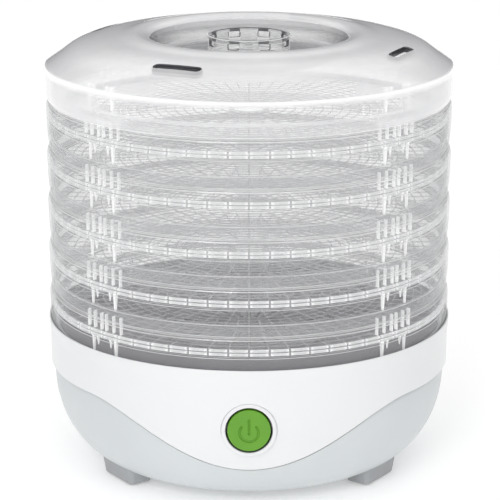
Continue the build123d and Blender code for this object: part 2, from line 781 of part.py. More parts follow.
# Wiring and cord entry -------------------------------------------------
def lead_x():
    """Sideways place of the heater's lead, clear of the mica board."""
    return mica_t / 2 + 3 * lead_r


def lead(radius, *points):
    """Insulated lead along straight runs joined by arcs."""
    line = FilletPolyline(*points, radius=radius)
    start = Plane(origin=line @ 0, z_dir=line % 0)
    return sweep(start * Circle(lead_r), line)


def terminal_block():
    return box((-terminal_w / 2, terminal_w / 2),
               (terminal_y - terminal_d / 2, terminal_y + terminal_d / 2),
               (terminal_foot, terminal_foot + terminal_h))


def leads():
    mid = terminal_foot + terminal_h / 2
    far = terminal_y + terminal_d / 2
    coil_y = stator_back + coil_margin
    coil_z = stator_low + stack_t / 2
    side = terminal_w / 2
    round_r = (duct_r + foot_circle_r) / 2
    rise = coil_y + (terminal_y - coil_y) / 3
    hot_y = heater_coil_radii[-1] + heater_coil_r
    span = gland_in - far
    return {
        "lead_supply": lead(6, (0, gland_in - gland_tail, gland_z), (0, far + 0.64 * span, gland_z),
                            (0, far + 0.42 * span, mid), (0, far, mid)),
        "lead_motor": lead(4, (0, terminal_y - terminal_d / 2, mid), (0, rise, mid),
                           (0, rise, coil_z), (0, coil_y, coil_z)),
        "lead_heater": lead(5, (-lead_x(), terminal_y, terminal_foot + terminal_h),
                            (-lead_x(), terminal_y, heater_coil_z), (-lead_x(), hot_y, heater_coil_z)),
        "lead_switch": lead(16, (side, terminal_y, mid), (round_r * 0.8, terminal_y, mid),
                            (round_r, 0, mid + 12), (round_r * 0.7, -round_r * 0.8, mid + 35),
                            (0, -round_r * 1.05, button_z), (0, switch_len - bezel_back, button_z)),
    }


def cord_gland():
    body = rod_y(gland_r, gland_in - gland_tail, gland_out, gland_z)
    body += rod_y(gland_flange_r, gland_out, gland_out + gland_flange_t, gland_z)
    return body - rod_y(gland_bore_r, 0, 2 * tray_r, gland_z)


def gland_nut():
    plane = Plane(origin=(0, gland_in, gland_z), z_dir=(0, 1, 0))
    nut = plane * extrude(RegularPolygon(gland_nut_r, 6), gland_nut_t)
    return nut - rod_y(gland_r, 0, 2 * tray_r, gland_z)


def build():
    parts = {
        "base_upper_housing": base_upper_housing(),
        "base_lower_housing": base_lower_housing(),
        "bottom_cover": bottom_cover(),
        "cover_screws": cover_screws(),
        "deck_plate": deck_plate(),
        "housing_screws": housing_screws(),
        "button_bezel": button_bezel(),
        "button_cap": button_cap(),
        "button_spring": button_spring(),
        "switch_body": switch_body(),
        "switch_plunger": switch_plunger(),
        "lid": lid(),
        "vent_dial": vent_dial(),
        "dial_clip": dial_clip(),
        "motor_stator": motor_stator(),
        "motor_coil": motor_coil(),
        "motor_rotor": ring(shaft_r, stator_bore_r - air_gap, stator_low, stator_low + stack_t),
        "motor_shaft": disc(shaft_r, shaft_low, shaft_top),
        "motor_bracket_top": motor_bracket(stator_low + stack_t, bracket_rise - bracket_t),
        "motor_bracket_bottom": motor_bracket(stator_low, bracket_t - bracket_rise),
        "motor_bush_top": bush(stator_low + stack_t + bracket_rise - bracket_t - 1),
        "motor_bush_bottom": bush(bearing_low - bush_h + 3),
        "motor_screws": motor_screws(),
        "fan_impeller": fan_impeller(),
        "fan_clip": ring(shaft_r, fan_clip_r, fan_low + fan_hub_h, fan_low + fan_hub_h + fan_clip_t),
        "air_duct": air_duct(),
        "heater_frame": heater_frame(),
        "heater_coil": heater_coil(),
        "thermostat": thermostat(),
        "thermal_fuse": thermal_fuse(),
        "terminal_block": terminal_block(),
        "cord_gland": cord_gland(),
        "gland_nut": gland_nut(),
    }
    parts.update(leads())
    for name, angle in zip(foot_names, foot_angles):
        parts[f"foot_{name}"] = foot(angle)
        parts[f"foot_pad_{name}"] = foot_pad(angle)
    wall, grid = tray_wall(), tray_grid()
    for number in range(1, tray_count + 1):
        parts[f"tray_{number}_wall"] = tray_place(number) * wall
        parts[f"tray_{number}_grid"] = tray_place(number) * grid
    return parts


os.makedirs("parts", exist_ok=True)
for node, shape in build().items():
    export_step(shape, f"parts/{node}.step")
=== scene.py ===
import json
from math import pi, radians

import bpy
import numpy as np
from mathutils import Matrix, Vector


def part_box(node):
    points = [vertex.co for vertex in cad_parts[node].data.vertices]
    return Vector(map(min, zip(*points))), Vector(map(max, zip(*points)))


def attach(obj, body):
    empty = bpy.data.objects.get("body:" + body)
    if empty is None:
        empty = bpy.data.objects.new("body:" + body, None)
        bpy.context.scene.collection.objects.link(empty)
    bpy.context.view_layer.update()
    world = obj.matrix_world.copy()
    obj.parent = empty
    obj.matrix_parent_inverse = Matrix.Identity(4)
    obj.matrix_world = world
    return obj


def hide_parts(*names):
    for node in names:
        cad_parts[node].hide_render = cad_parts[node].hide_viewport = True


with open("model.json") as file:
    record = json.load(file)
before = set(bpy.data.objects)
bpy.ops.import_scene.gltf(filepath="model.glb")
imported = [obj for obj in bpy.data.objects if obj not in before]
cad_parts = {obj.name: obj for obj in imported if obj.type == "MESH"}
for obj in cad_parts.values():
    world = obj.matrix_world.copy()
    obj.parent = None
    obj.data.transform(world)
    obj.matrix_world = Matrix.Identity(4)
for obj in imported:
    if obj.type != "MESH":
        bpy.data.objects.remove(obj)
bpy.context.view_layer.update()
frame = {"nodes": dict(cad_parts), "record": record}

record = frame["record"]
slotOf = {part["node"]: part["material_slot"] for part in record["subparts"]}
trayNumbers = sorted(int(name.split("_")[1]) for name in slotOf if name.startswith("tray_") and
                     name.endswith("_wall"))
footNames = sorted(name for name in slotOf if name.startswith("foot_") and "pad" not in name)


# Shapes: each one is its points and a list of face arrays, with three or four corners to a row.

# Outline of (across, up, radius) corners. Each corner is replaced by the parabola that leaves and
# meets its two sides at the radius's distance from it.
def softLine(corners, steps=4, closed=True):
    given = np.array(corners, float)
    middle = given[:, :2]
    toBefore = np.roll(middle, 1, 0) - middle
    toAfter = np.roll(middle, -1, 0) - middle
    lengthBefore = np.linalg.norm(toBefore, axis=1)
    lengthAfter = np.linalg.norm(toAfter, axis=1)
    reach = np.minimum(given[:, 2], 0.45 * np.minimum(lengthBefore, lengthAfter))
    if not closed:
        reach[[0, -1]] = 0
    start = middle + toBefore * (reach / lengthBefore)[:, None]
    end = middle + toAfter * (reach / lengthAfter)[:, None]
    t = np.linspace(0, 1, steps)[None, :, None]
    curve = (1 - t) ** 2 * start[:, None] + 2 * t * (1 - t) * middle[:, None] + t ** 2 * end[:, None]
    line = curve.reshape(-1, 2)
    return line[np.linalg.norm(line - np.roll(line, 1, 0), axis=1) > 1e-7]


# Smooth line through points: cubic Hermite pieces whose slope at a point is the mean of the slopes
# before and after it, each weighted by the length of the other.
def flowLine(points, steps=5):
    pts = np.array(points, float)
    span = np.linalg.norm(np.diff(pts, axis=0), axis=1)[:, None]
    slope = np.diff(pts, axis=0) / span
    inner = (slope[:-1] * span[1:] + slope[1:] * span[:-1]) / (span[:-1] + span[1:])
    tangent = np.vstack([slope[:1], inner, slope[-1:]])
    t = np.linspace(0, 1, steps, endpoint=False)[None, :, None]
    first, last = pts[:-1, None], pts[1:, None]
    leave, arrive = (span * tangent[:-1])[:, None], (span * tangent[1:])[:, None]
    line = (2 * t**3 - 3 * t**2 + 1) * first + (t**3 - 2 * t**2 + t) * leave
    line = line + (3 * t**2 - 2 * t**3) * last + (t**3 - t**2) * arrive
    return np.vstack([line.reshape(-1, 2), pts[-1:]])


# The line moved sideways by a distance, along its own normal.
def besideLine(line, distance):
    along = np.gradient(line, axis=0)
    along /= np.linalg.norm(along, axis=1)[:, None]
    return line + distance * np.stack([-along[:, 1], along[:, 0]], -1)


def evenTurns(count):
    return np.arange(count) * 2 * pi / count


# A profile (r, z) turned about Z: (r sin a, -r cos a, z), so a = 0 is the front.
def turnedUp(profile, turns):
    r, z = profile[..., 0], profile[..., 1]
    a = turns[:, None]
    return np.stack([r * np.sin(a), -r * np.cos(a), z + 0 * a], -1)


# A profile (r, forward) turned about the button's axis: (r sin a, -forward, height + r cos a).
def turnedForward(profile, turns, height):
    r, forward = profile[:, 0], profile[:, 1]
    a = turns[:, None]
    return np.stack([r * np.sin(a), -forward + 0 * a, height + r * np.cos(a)], -1)


# Four-cornered faces between neighbouring rows and columns of a grid.
def gridQuads(rows, columns, closeRows, closeColumns):
    r = np.arange(rows if closeRows else rows - 1)[:, None]
    c = np.arange(columns if closeColumns else columns - 1)[None, :]
    nextRow, nextColumn = (r + 1) % rows, (c + 1) % columns
    corners = [r * columns + c, r * columns + nextColumn, nextRow * columns + nextColumn,
               nextRow * columns + c]
    return np.stack([np.broadcast_to(k, (r.size, c.size)) for k in corners], -1).reshape(-1, 4)


# Turns the faces round if the volume they enclose, summed over tetrahedra from the origin, is negative.
def facingOut(points, faces):
    volume = 0.0
    for face in faces:
        a, b, c = (points[face[:, k]] for k in range(3))
        volume += np.sum(a * np.cross(b, c))
        if face.shape[1] == 4:
            volume += np.sum(a * np.cross(c, points[face[:, 3]]))
    return points, [face[:, ::-1] if volume < 0 else face for face in faces]


# A grid closed both ways, like a ring.
def ringShape(points):
    rows, columns = points.shape[:2]
    return facingOut(points.reshape(-1, 3), [gridQuads(rows, columns, True, True)])


# Rows of closed loops, with the first and last loop filled by a fan to its middle.
def loftShape(points):
    rows, columns = points.shape[:2]
    ends = points[[0, -1]].mean(axis=1)
    here = np.arange(columns)
    after = (here + 1) % columns
    last = (rows - 1) * columns
    pole = rows * columns
    startFan = np.stack([np.full(columns, pole), after, here], -1)
    endFan = np.stack([np.full(columns, pole + 1), last + here, last + after], -1)
    allPoints = np.vstack([points.reshape(-1, 3), ends])
    return facingOut(allPoints, [gridQuads(rows, columns, False, True), startFan, endFan])


def joinShapes(*shapes):
    points, faces, count = [], [], 0
    for shapePoints, shapeFaces in shapes:
        points.append(shapePoints)
        faces += [face + count for face in shapeFaces]
        count += len(shapePoints)
    return np.vstack(points), faces


# The shape repeated about Z at each turn.
def stampAround(shape, turns):
    points, faces = shape
    a = np.asarray(turns)[:, None]
    x, y, z = points.T
    spun = np.stack([x * np.cos(a) - y * np.sin(a), x * np.sin(a) + y * np.cos(a), z + 0 * a], -1)
    step = np.arange(len(a))[:, None, None] * len(points)
    return spun.reshape(-1, 3), [(face[None] + step).reshape(-1, face.shape[1]) for face in faces]


def raised(shape, height):
    return shape[0] + np.array([0, 0, height]), shape[1]


# Block with soft edges: a rounded rectangle lofted upwards, drawn in at its two ends. Its lower end
# can be narrower, by the share given as tip.
def softBlock(low, high, edge, tip=1.0):
    low, high = np.array(low, float), np.array(high, float)
    middle, half = (low + high) / 2, (high - low) / 2
    box = [(-half[0], -half[1]), (half[0], -half[1]), (half[0], half[1]), (-half[0], half[1])]
    loop = softLine([(x, y, edge) for x, y in box], 3)
    heights = np.array([low[2], low[2] + edge, high[2] - edge, high[2]])
    inset = 1 - np.array([edge, 0, 0, edge]) / half[:2].min()
    taper = np.array([tip, tip, 1, 1]) * inset
    rows = loop[None] * taper[:, None, None] + middle[:2]
    return loftShape(np.dstack([rows, np.broadcast_to(heights[:, None], rows.shape[:2])]))


# Round tube along a line in the plane of the button's face, with half-ball ends: the radius at a
# distance s from an end is sqrt(r^2 - (r - s)^2).
def tubeShape(line, radius, around=12):
    step = np.linalg.norm(np.diff(line, axis=0), axis=1)
    s = np.concatenate([[0], np.cumsum(step)])
    fromEnd = np.minimum(np.minimum(s, s[-1] - s), radius)
    size = np.sqrt(np.maximum(radius**2 - (radius - fromEnd) ** 2, (0.05 * radius) ** 2))
    along = np.gradient(line, s, axis=0)
    along /= np.linalg.norm(along, axis=1)[:, None]
    forward = np.array([0, -1.0, 0])
    side = np.cross(along, forward)
    a = evenTurns(around)[None, :, None]
    return loftShape(line[:, None] + size[:, None, None] * (np.cos(a) * forward + np.sin(a) * side[:, None]))


# Upright prism over an outline of (x, y) points.
def prismShape(loop, low, high):
    rows = np.broadcast_to(loop, (2, *loop.shape))
    heights = np.broadcast_to(np.array([low, high])[:, None], rows.shape[:2])
    return loftShape(np.dstack([rows, heights]))


# Cylinder along Y between two places, at a height.
def rodShape(radius, start, end, height, around=64):
    profile = np.array([(radius, -start), (radius, -end)])
    return loftShape(turnedForward(profile, evenTurns(around), height).swapaxes(0, 1))


def meshFrom(name, shape):
    points, faces = shape
    mesh = bpy.data.meshes.new(name)
    mesh.from_pydata(points.tolist(), [], [corner for face in faces for corner in face.tolist()])
    mesh.validate()
    return mesh


def shadeSoft(piece, sharp=38):
    piece.data.shade_smooth()
    piece.data.set_sharp_from_angle(angle=radians(sharp))


# Marks each point with how much of an edge it is: one minus the length of the mean normal of the
# faces round it, scaled up, so that a rounded edge reads 1 and a wall reads 0.
# The clear finishes use this mark to place their painted highlight and painted glow.
def markEdges(piece, gain=45.0):
    mesh = piece.data
    corner = np.zeros(len(mesh.loops), int)
    mesh.loops.foreach_get("vertex_index", corner)
    normals = np.zeros(3 * len(mesh.polygons))
    mesh.polygons.foreach_get("normal", normals)
    sides = np.zeros(len(mesh.polygons), int)
    mesh.polygons.foreach_get("loop_total", sides)
    spread = np.repeat(normals.reshape(-1, 3), sides, axis=0)
    count = len(mesh.vertices)
    total = np.stack([np.bincount(corner, spread[:, k], count) for k in range(3)], -1)
    mean = np.linalg.norm(total, axis=1) / np.maximum(np.bincount(corner, minlength=count), 1)
    mark = mesh.attributes.get("edgeShare") or mesh.attributes.new("edgeShare", "FLOAT", "POINT")
    mark.data.foreach_set("value", np.clip(gain * (1 - mean), 0, 1))


# A finished piece on its body, which may stand for CAD nodes. Its surface is its slot's, or the one given.
def addPiece(name, shape, slot, body, *nodes, finish=None):
    piece = bpy.data.objects.new(name, meshFrom(name, shape))
    piece.data.materials.append(finish or finishes[slot])
    bpy.context.scene.collection.objects.link(piece)
    shadeSoft(piece)
    if slot == "clear_plastic":
        markEdges(piece)
    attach(piece, body)
    if nodes:
        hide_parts(*nodes)
    return piece


# Cuts a shape out of a piece, or joins it on, and keeps the result as the piece's own mesh. The new
# faces take the finish given, or the piece's own.
def carve(piece, shape, operation="DIFFERENCE", finish=None):
    tool = bpy.data.objects.new("tool", meshFrom("tool", shape))
    tool.data.materials.append(finish or piece.data.materials[0])
    bpy.context.scene.collection.objects.link(tool)
    cut = piece.modifiers.new("cut", "BOOLEAN")
    cut.object, cut.operation, cut.solver, cut.material_mode = tool, operation, "EXACT", "TRANSFER"
    graph = bpy.context.evaluated_depsgraph_get()
    result = bpy.data.meshes.new_from_object(piece.evaluated_get(graph))
    piece.modifiers.clear()
    before, toolMesh = piece.data, tool.data
    piece.data = result
    bpy.data.objects.remove(tool)
    bpy.data.meshes.remove(before)
    bpy.data.meshes.remove(toolMesh)
    result.name = piece.name
    shadeSoft(piece)


# Gives a finish to the faces that a test on their middles and normals picks.
def paintFaces(piece, picked, finish):
    mesh = piece.data
    middle, normal = np.zeros((2, 3 * len(mesh.polygons)))
    mesh.polygons.foreach_get("center", middle)
    mesh.polygons.foreach_get("normal", normal)
    index = np.zeros(len(mesh.polygons), np.int32)
    mesh.polygons.foreach_get("material_index", index)
    if finish.name not in mesh.materials:
        mesh.materials.append(finish)
    chosen = picked(middle.reshape(-1, 3), normal.reshape(-1, 3)) & (index == 0)
    index[chosen] = mesh.materials.find(finish.name)
    mesh.polygons.foreach_set("material_index", index)


# Surfaces

# One socket of a finish, so that shader maths reads as an expression.
class Reading:
    def __init__(self, finish, socket):
        self.finish, self.socket = finish, socket

    def work(self, operation, first, second):
        return self.finish.node("ShaderNodeMath", {"operation": operation}, {0: first, 1: second})

    def __add__(self, other):
        return self.work("ADD", self, other)

    def __sub__(self, other):
        return self.work("SUBTRACT", self, other)

    def __rsub__(self, other):
        return self.work("SUBTRACT", other, self)

    def __mul__(self, other):
        return self.work("MULTIPLY", self, other)

    def __truediv__(self, other):
        return self.work("DIVIDE", self, other)

    def __pow__(self, other):
        return self.work("POWER", self, other)

    __radd__ = __add__
    __rmul__ = __mul__


# A material and the nodes that make it.
class Finish:
    def __init__(self, name):
        self.material = bpy.data.materials.new(name)
        self.material.use_nodes = True
        self.tree = self.material.node_tree
        self.tree.nodes.clear()
        self.place = self.node("ShaderNodeTexCoord", {}, {}, "Object")

    def node(self, kind, settings, inputs, output=0):
        made = self.tree.nodes.new(kind)
        for key, value in settings.items():
            if key == "stops":
                for index, (position, colour) in enumerate(value):
                    stops = made.color_ramp.elements
                    stop = stops[index] if index < len(stops) else stops.new(position)
                    stop.position, stop.color = position, (*colour, 1)
            else:
                setattr(made, key, value)
        for key, value in inputs.items():
            if isinstance(value, Reading):
                self.tree.links.new(value.socket, made.inputs[key])
            else:
                made.inputs[key].default_value = value
        return Reading(self, made.outputs[output])

    def noise(self, scale, detail=2.0, stretch=(1, 1, 1)):
        turned = self.node("ShaderNodeMapping", {}, {"Vector": self.place, "Scale": stretch})
        return self.node("ShaderNodeTexNoise", {}, {"Vector": turned, "Scale": scale, "Detail": detail})

    def blend(self, share, first, second):
        ends = {6: (*first, 1) if isinstance(first, tuple) else first,
                7: (*second, 1) if isinstance(second, tuple) else second}
        return self.node("ShaderNodeMix", {"data_type": "RGBA"}, {0: share, **ends}, 2)

    def part(self, axis):
        return self.node("ShaderNodeSeparateXYZ", {}, {0: self.place}, axis)

    def bump(self, height, strength, depth):
        return self.node("ShaderNodeBump", {}, {"Height": height, "Strength": strength, "Distance": depth})

    def close(self, **inputs):
        named = {key.replace("_", " "): value for key, value in inputs.items()}
        surface = self.node("ShaderNodeBsdfPrincipled", {}, named)
        output = self.tree.nodes.new("ShaderNodeOutputMaterial")
        self.tree.links.new(surface.socket, output.inputs["Surface"])
        return self.material


# Clear moulded plastic as a thin skin. Seen straight on it passes most light; towards a grazing
# view its milky share and its mirror share each rise with a power of 1 - cos. The mirror share is
# the metallic part of the skin. Where the edge mark is high the skin is painted whiter and denser, a
# painted highlight, and glows a little by itself, a painted glow as emission. Faint flow marks thicken and
# thin the milk.
def clearPlastic(name, look):
    f = Finish(name)
    facing = f.node("ShaderNodeLayerWeight", {}, {"Blend": 0.5}, "Facing")
    flow = f.noise(look["flowScale"], 3.0, look["flowStretch"])
    mark = f.node("ShaderNodeAttribute", {"attribute_name": "edgeShare"}, {}, "Fac")
    milk = (look["milk"] + look["edge"] * facing ** look["edgePower"]) * (0.8 + 0.4 * flow)
    mirror = look["mirror"] + look["mirrorEdge"] * facing ** look["mirrorPower"]
    skin = milk + mirror + look["glow"] * mark
    # painted highlight and painted glow: marked edges take a lighter colour and an emission colour
    colour = f.blend(mark, look["colour"], look["paintedEdgeColour"])
    paintedGlow = f.blend(mark, look["paintedGlow"], look["paintedEdgeGlow"])
    return f.close(Base_Color=colour, Metallic=mirror / skin, Roughness=look["roughness"] + 0.04 * flow,
                   Alpha=f.node("ShaderNodeMath", {"operation": "MINIMUM"}, {0: skin, 1: 1.0}),
                   Emission_Color=paintedGlow, Emission_Strength=1.0, Normal=f.bump(flow, 0.15, 0.0004), IOR=1.49)


# Moulded plastic: a slow cloud moves the colour and the gloss, and a fine grain gives the skin's tooth.
def mouldedPlastic(name, look):
    f = Finish(name)
    cloud = f.noise(look["cloudScale"], 3.0)
    grain = f.noise(look["grainScale"], 2.0)
    colour = f.blend(cloud, look["colour"], look["shade"])
    rough = look["roughness"] + look["roughSpread"] * (cloud - 0.5) + 0.5 * look["roughSpread"] * grain
    return f.close(Base_Color=colour, Roughness=rough, Coat_Weight=look["coat"] * (0.7 + 0.6 * cloud),
                   Coat_Roughness=0.12, Normal=f.bump(grain, look["bump"], look["depth"]))


# Sheet or bar metal: noise stretched along one axis draws the rolling marks, and a slow cloud dulls it.
def rolledMetal(name, look):
    f = Finish(name)
    marks = f.noise(look["markScale"], 4.0, look["stretch"])
    cloud = f.noise(40.0, 3.0)
    colour = f.blend(marks * 0.6 + cloud * 0.4, look["colour"], look["shade"])
    return f.close(Base_Color=colour, Metallic=1.0, Roughness=look["roughness"] + 0.2 * marks - 0.1 * cloud,
                   Normal=f.bump(marks, look["bump"], 0.0002))


# Stacked steel sheets or wound wire: a sine along one axis with the sheet's or the wire's pitch.
def layeredMetal(name, look):
    f = Finish(name)
    along = f.part(look["axis"]) * (2 * pi / look["pitch"])
    wave = 0.5 + 0.5 * f.node("ShaderNodeMath", {"operation": "SINE"}, {0: along})
    stain = f.noise(look["stainScale"], 3.0)
    colour = f.blend(wave * 0.5 + stain * 0.5, look["shade"], look["colour"])
    return f.close(Base_Color=colour, Metallic=look["metallic"], Roughness=0.3 + 0.25 * stain,
                   Normal=f.bump(wave, 0.6, look["pitch"] / 3))


# Pressed mica board: cells of two sizes give the flakes, each a little lighter or darker.
def micaBoard(name, look):
    f = Finish(name)
    flake = f.node("ShaderNodeTexVoronoi", {}, {"Vector": f.place, "Scale": look["flakeScale"]}, 0)
    fine = f.noise(look["flakeScale"] * 3, 3.0)
    colour = f.blend(fine * 0.7 + flake * 0.3, look["colour"], look["shade"])
    return f.close(Base_Color=colour, Roughness=0.35 + 0.3 * fine, Normal=f.bump(flake, 0.3, 0.0003))


# paintedEdgeColour and paintedEdgeGlow are the painted highlight and painted glow of marked edges
clearLook = {"milk": 0.045, "edge": 0.30, "edgePower": 3.0, "mirror": 0.03, "mirrorEdge": 0.30,
             "mirrorPower": 5.0, "glow": 0.60, "colour": (0.46, 0.47, 0.48), "paintedEdgeColour": (0.95, 0.95, 0.95),
             "paintedGlow": (0.0, 0.0, 0.0), "paintedEdgeGlow": (0.12, 0.12, 0.12), "roughness": 0.06,
             "flowScale": 26.0, "flowStretch": (1.0, 1.0, 0.35)}
gridClear = {**clearLook, "milk": 0.10, "edge": 0.12, "glow": 0.22, "paintedEdgeColour": (0.66, 0.66, 0.67)}
# lugs and rim rails: denser and whiter, with a stronger painted glow, as painted highlight
lugGlowClear = {**clearLook, "milk": 0.30, "glow": 0.55, "paintedEdgeGlow": (0.30, 0.30, 0.30)}
lidClear = {**clearLook, "milk": 0.05, "edge": 0.85, "edgePower": 1.3, "mirror": 0.04, "mirrorEdge": 0.90,
            "mirrorPower": 6.0, "colour": (0.93, 0.93, 0.94)}
# finger dish: painted shade, a darker grey copy of the lid's finish
dishShadeClear = {**lidClear, "milk": 0.14, "edge": 0.60, "mirrorPower": 4.0, "colour": (0.36, 0.36, 0.37)}
# cut faces: painted shade, dark and near opaque
cutShadeClear = {**clearLook, "milk": 0.85, "edge": 0.1, "glow": 0.0, "colour": (0.10, 0.10, 0.11),
             "paintedEdgeColour": (0.10, 0.10, 0.11), "paintedEdgeGlow": (0.0, 0.0, 0.0), "roughness": 0.15,
             "flowScale": 60.0}
plasticLooks = {
    "housing_white": {"colour": (0.82, 0.83, 0.83), "shade": (0.78, 0.79, 0.80), "roughness": 0.27,
                      "roughSpread": 0.08, "coat": 0.25, "cloudScale": 14.0, "grainScale": 1500.0,
                      "bump": 0.06, "depth": 0.0003},
    "housing_pale_grey": {"colour": (0.66, 0.69, 0.70), "shade": (0.61, 0.64, 0.65), "roughness": 0.36,
                          "roughSpread": 0.1, "coat": 0.12, "cloudScale": 14.0, "grainScale": 1300.0,
                          "bump": 0.08, "depth": 0.0003},
    "bezel_white": {"colour": (0.82, 0.82, 0.83), "shade": (0.77, 0.77, 0.79), "roughness": 0.3,
                    "roughSpread": 0.08, "coat": 0.2, "cloudScale": 60.0, "grainScale": 1800.0,
                    "bump": 0.05, "depth": 0.0002},
    "button_green": {"colour": (0.125, 0.36, 0.012), "shade": (0.10, 0.30, 0.010), "roughness": 0.30,
                     "roughSpread": 0.08, "coat": 0.15, "cloudScale": 50.0, "grainScale": 1800.0,
                     "bump": 0.05, "depth": 0.0002},
    "foot_grey": {"colour": (0.42, 0.43, 0.44), "shade": (0.36, 0.37, 0.38), "roughness": 0.5,
                  "roughSpread": 0.12, "coat": 0.0, "cloudScale": 45.0, "grainScale": 900.0,
                  "bump": 0.2, "depth": 0.0003},
    "pad_rubber": {"colour": (0.05, 0.05, 0.05), "shade": (0.09, 0.09, 0.09), "roughness": 0.75,
                   "roughSpread": 0.2, "coat": 0.0, "cloudScale": 90.0, "grainScale": 1200.0,
                   "bump": 0.4, "depth": 0.0004},
    "deck_dark": {"colour": (0.27, 0.26, 0.28), "shade": (0.22, 0.21, 0.23), "roughness": 0.5,
                  "roughSpread": 0.12, "coat": 0.0, "cloudScale": 25.0, "grainScale": 900.0,
                  "bump": 0.2, "depth": 0.0003},
    "fan_plastic": {"colour": (0.06, 0.06, 0.065), "shade": (0.09, 0.09, 0.095), "roughness": 0.45,
                    "roughSpread": 0.15, "coat": 0.0, "cloudScale": 50.0, "grainScale": 900.0,
                    "bump": 0.15, "depth": 0.0003},
    "terminal_plastic": {"colour": (0.10, 0.10, 0.11), "shade": (0.15, 0.15, 0.16), "roughness": 0.4,
                         "roughSpread": 0.15, "coat": 0.0, "cloudScale": 90.0, "grainScale": 1200.0,
                         "bump": 0.15, "depth": 0.0002},
    "gland_rubber": {"colour": (0.05, 0.05, 0.052), "shade": (0.08, 0.08, 0.082), "roughness": 0.65,
                     "roughSpread": 0.2, "coat": 0.0, "cloudScale": 110.0, "grainScale": 1400.0,
                     "bump": 0.3, "depth": 0.0003},
    "lead_insulation": {"colour": (0.50, 0.06, 0.04), "shade": (0.40, 0.05, 0.035), "roughness": 0.4,
                        "roughSpread": 0.15, "coat": 0.1, "cloudScale": 120.0, "grainScale": 1500.0,
                        "bump": 0.15, "depth": 0.0002},
}
metalLooks = {
    "steel": {"colour": (0.62, 0.62, 0.63), "shade": (0.46, 0.46, 0.48), "roughness": 0.28,
              "markScale": 500.0, "stretch": (1.0, 0.05, 1.0), "bump": 0.15},
    "bronze": {"colour": (0.56, 0.37, 0.17), "shade": (0.38, 0.24, 0.11), "roughness": 0.4,
               "markScale": 900.0, "stretch": (1.0, 1.0, 1.0), "bump": 0.35},
    "duct_metal": {"colour": (0.70, 0.70, 0.71), "shade": (0.55, 0.55, 0.57), "roughness": 0.25,
                   "markScale": 350.0, "stretch": (1.0, 1.0, 0.03), "bump": 0.12},
    "heater_wire": {"colour": (0.40, 0.36, 0.33), "shade": (0.22, 0.17, 0.15), "roughness": 0.45,
                    "markScale": 700.0, "stretch": (1.0, 1.0, 1.0), "bump": 0.3},
}
layerLooks = {
    "motor_steel": {"colour": (0.45, 0.45, 0.46), "shade": (0.20, 0.19, 0.19), "metallic": 0.9,
                    "axis": "Z", "pitch": 0.0010, "stainScale": 70.0},
    "copper": {"colour": (0.74, 0.36, 0.17), "shade": (0.40, 0.15, 0.06), "metallic": 0.8,
               "axis": "X", "pitch": 0.0008, "stainScale": 120.0},
}
micaLook = {"colour": (0.62, 0.57, 0.47), "shade": (0.45, 0.40, 0.31), "flakeScale": 260.0}

finishes = {"clear_plastic": clearPlastic("clearPlastic", clearLook),
            "mica": micaBoard("micaBoard", micaLook)}
finishes.update({slot: mouldedPlastic(slot, look) for slot, look in plasticLooks.items()})
finishes.update({slot: rolledMetal(slot, look) for slot, look in metalLooks.items()})
finishes.update({slot: layeredMetal(slot, look) for slot, look in layerLooks.items()})
for node, slot in slotOf.items():
    mesh = frame["nodes"][node].data
    mesh.materials.clear()
    mesh.materials.append(finishes[slot])
gridFinish = clearPlastic("clearGrid", gridClear)
lidFinish = clearPlastic("clearLid", lidClear)
dishShadeFinish = clearPlastic("clearDishPaintedShade", dishShadeClear)
lugGlowFinish = clearPlastic("clearLugsPaintedGlow", lugGlowClear)
cutFaceShade = clearPlastic("cutFaceShade", cutShadeClear)    # cut faces painted dark as painted shade, for a depth of plastic seen through
print("finishes made:", len(bpy.data.materials))


# Base: the bowl below and the collar with its dipping shield above

baseLook = {
    "floorInset": 0.0574, "bowlTopDrop": 0.0315, "wall": 0.0025,
    "seamDrop": 0.024, "seamDip": 0.046, "seamHalf": radians(52), "seamGap": 0.0011,
    "beltDrop": 0.019, "shieldSink": 0.003, "rimFlare": 0.0009, "rimWall": 0.0013, "rimTall": 0.0133,
    "slopeLow": 0.002, "slopeHigh": 0.008, "flangeWide": 0.010, "flangeThick": 0.0025,
    "flangeDrop": 0.0005, "spigotHeight": 0.0093, "spigotInset": 0.0044, "spigotWall": 0.0022,
    "flareRound": 0.003, "edge": 0.0006, "segments": 384, "steps": 26,
    "coverRadius": 0.1004, "coverThick": 0.0025, "coverLip": 0.012,
    "buttonHole": 0.0215, "glandPad": 0.011, "glandHole": 0.0052,
    "glandSink": 0.002, "glandGrip": 0.005, "glandPast": 0.01,
}
rimLow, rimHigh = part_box("base_upper_housing")
bowlLow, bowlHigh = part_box("base_lower_housing")
trayLow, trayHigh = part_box("tray_1_wall")
glandLow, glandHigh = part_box("cord_gland")
capLow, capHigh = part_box("button_cap")
bezelLow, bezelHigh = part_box("button_bezel")
trayR = trayHigh.x
rimR = rimHigh.x
ledge = rimHigh.z - baseLook["rimTall"]
bowlFoot = bowlLow.z
bowlR = bowlHigh.x
floorR = trayR - baseLook["floorInset"]
bowlTop = ledge - baseLook["bowlTopDrop"]
belt = ledge - baseLook["beltDrop"]
collarR = rimR - baseLook["rimFlare"]
shieldDepth = belt + baseLook["shieldSink"]
buttonZ = (capLow.z + capHigh.z) / 2


# Quarter ellipse r = floor + (side - floor) sqrt(1 - ((top - z) / tall)^2), upright above its top.
def ellipseRadius(z, side, top, tall):
    rise = np.clip((top - z) / tall, 0, 1)
    return floorR + (side - floorR) * np.sqrt(1 - rise**2)


def collarRadius(z):
    return ellipseRadius(z, collarR, belt, shieldDepth)


def collarInside(z):
    return ellipseRadius(z, collarR - baseLook["wall"], belt, shieldDepth - baseLook["wall"])


def bowlRadius(z):
    return ellipseRadius(z, bowlR, bowlTop, bowlTop - bowlFoot)


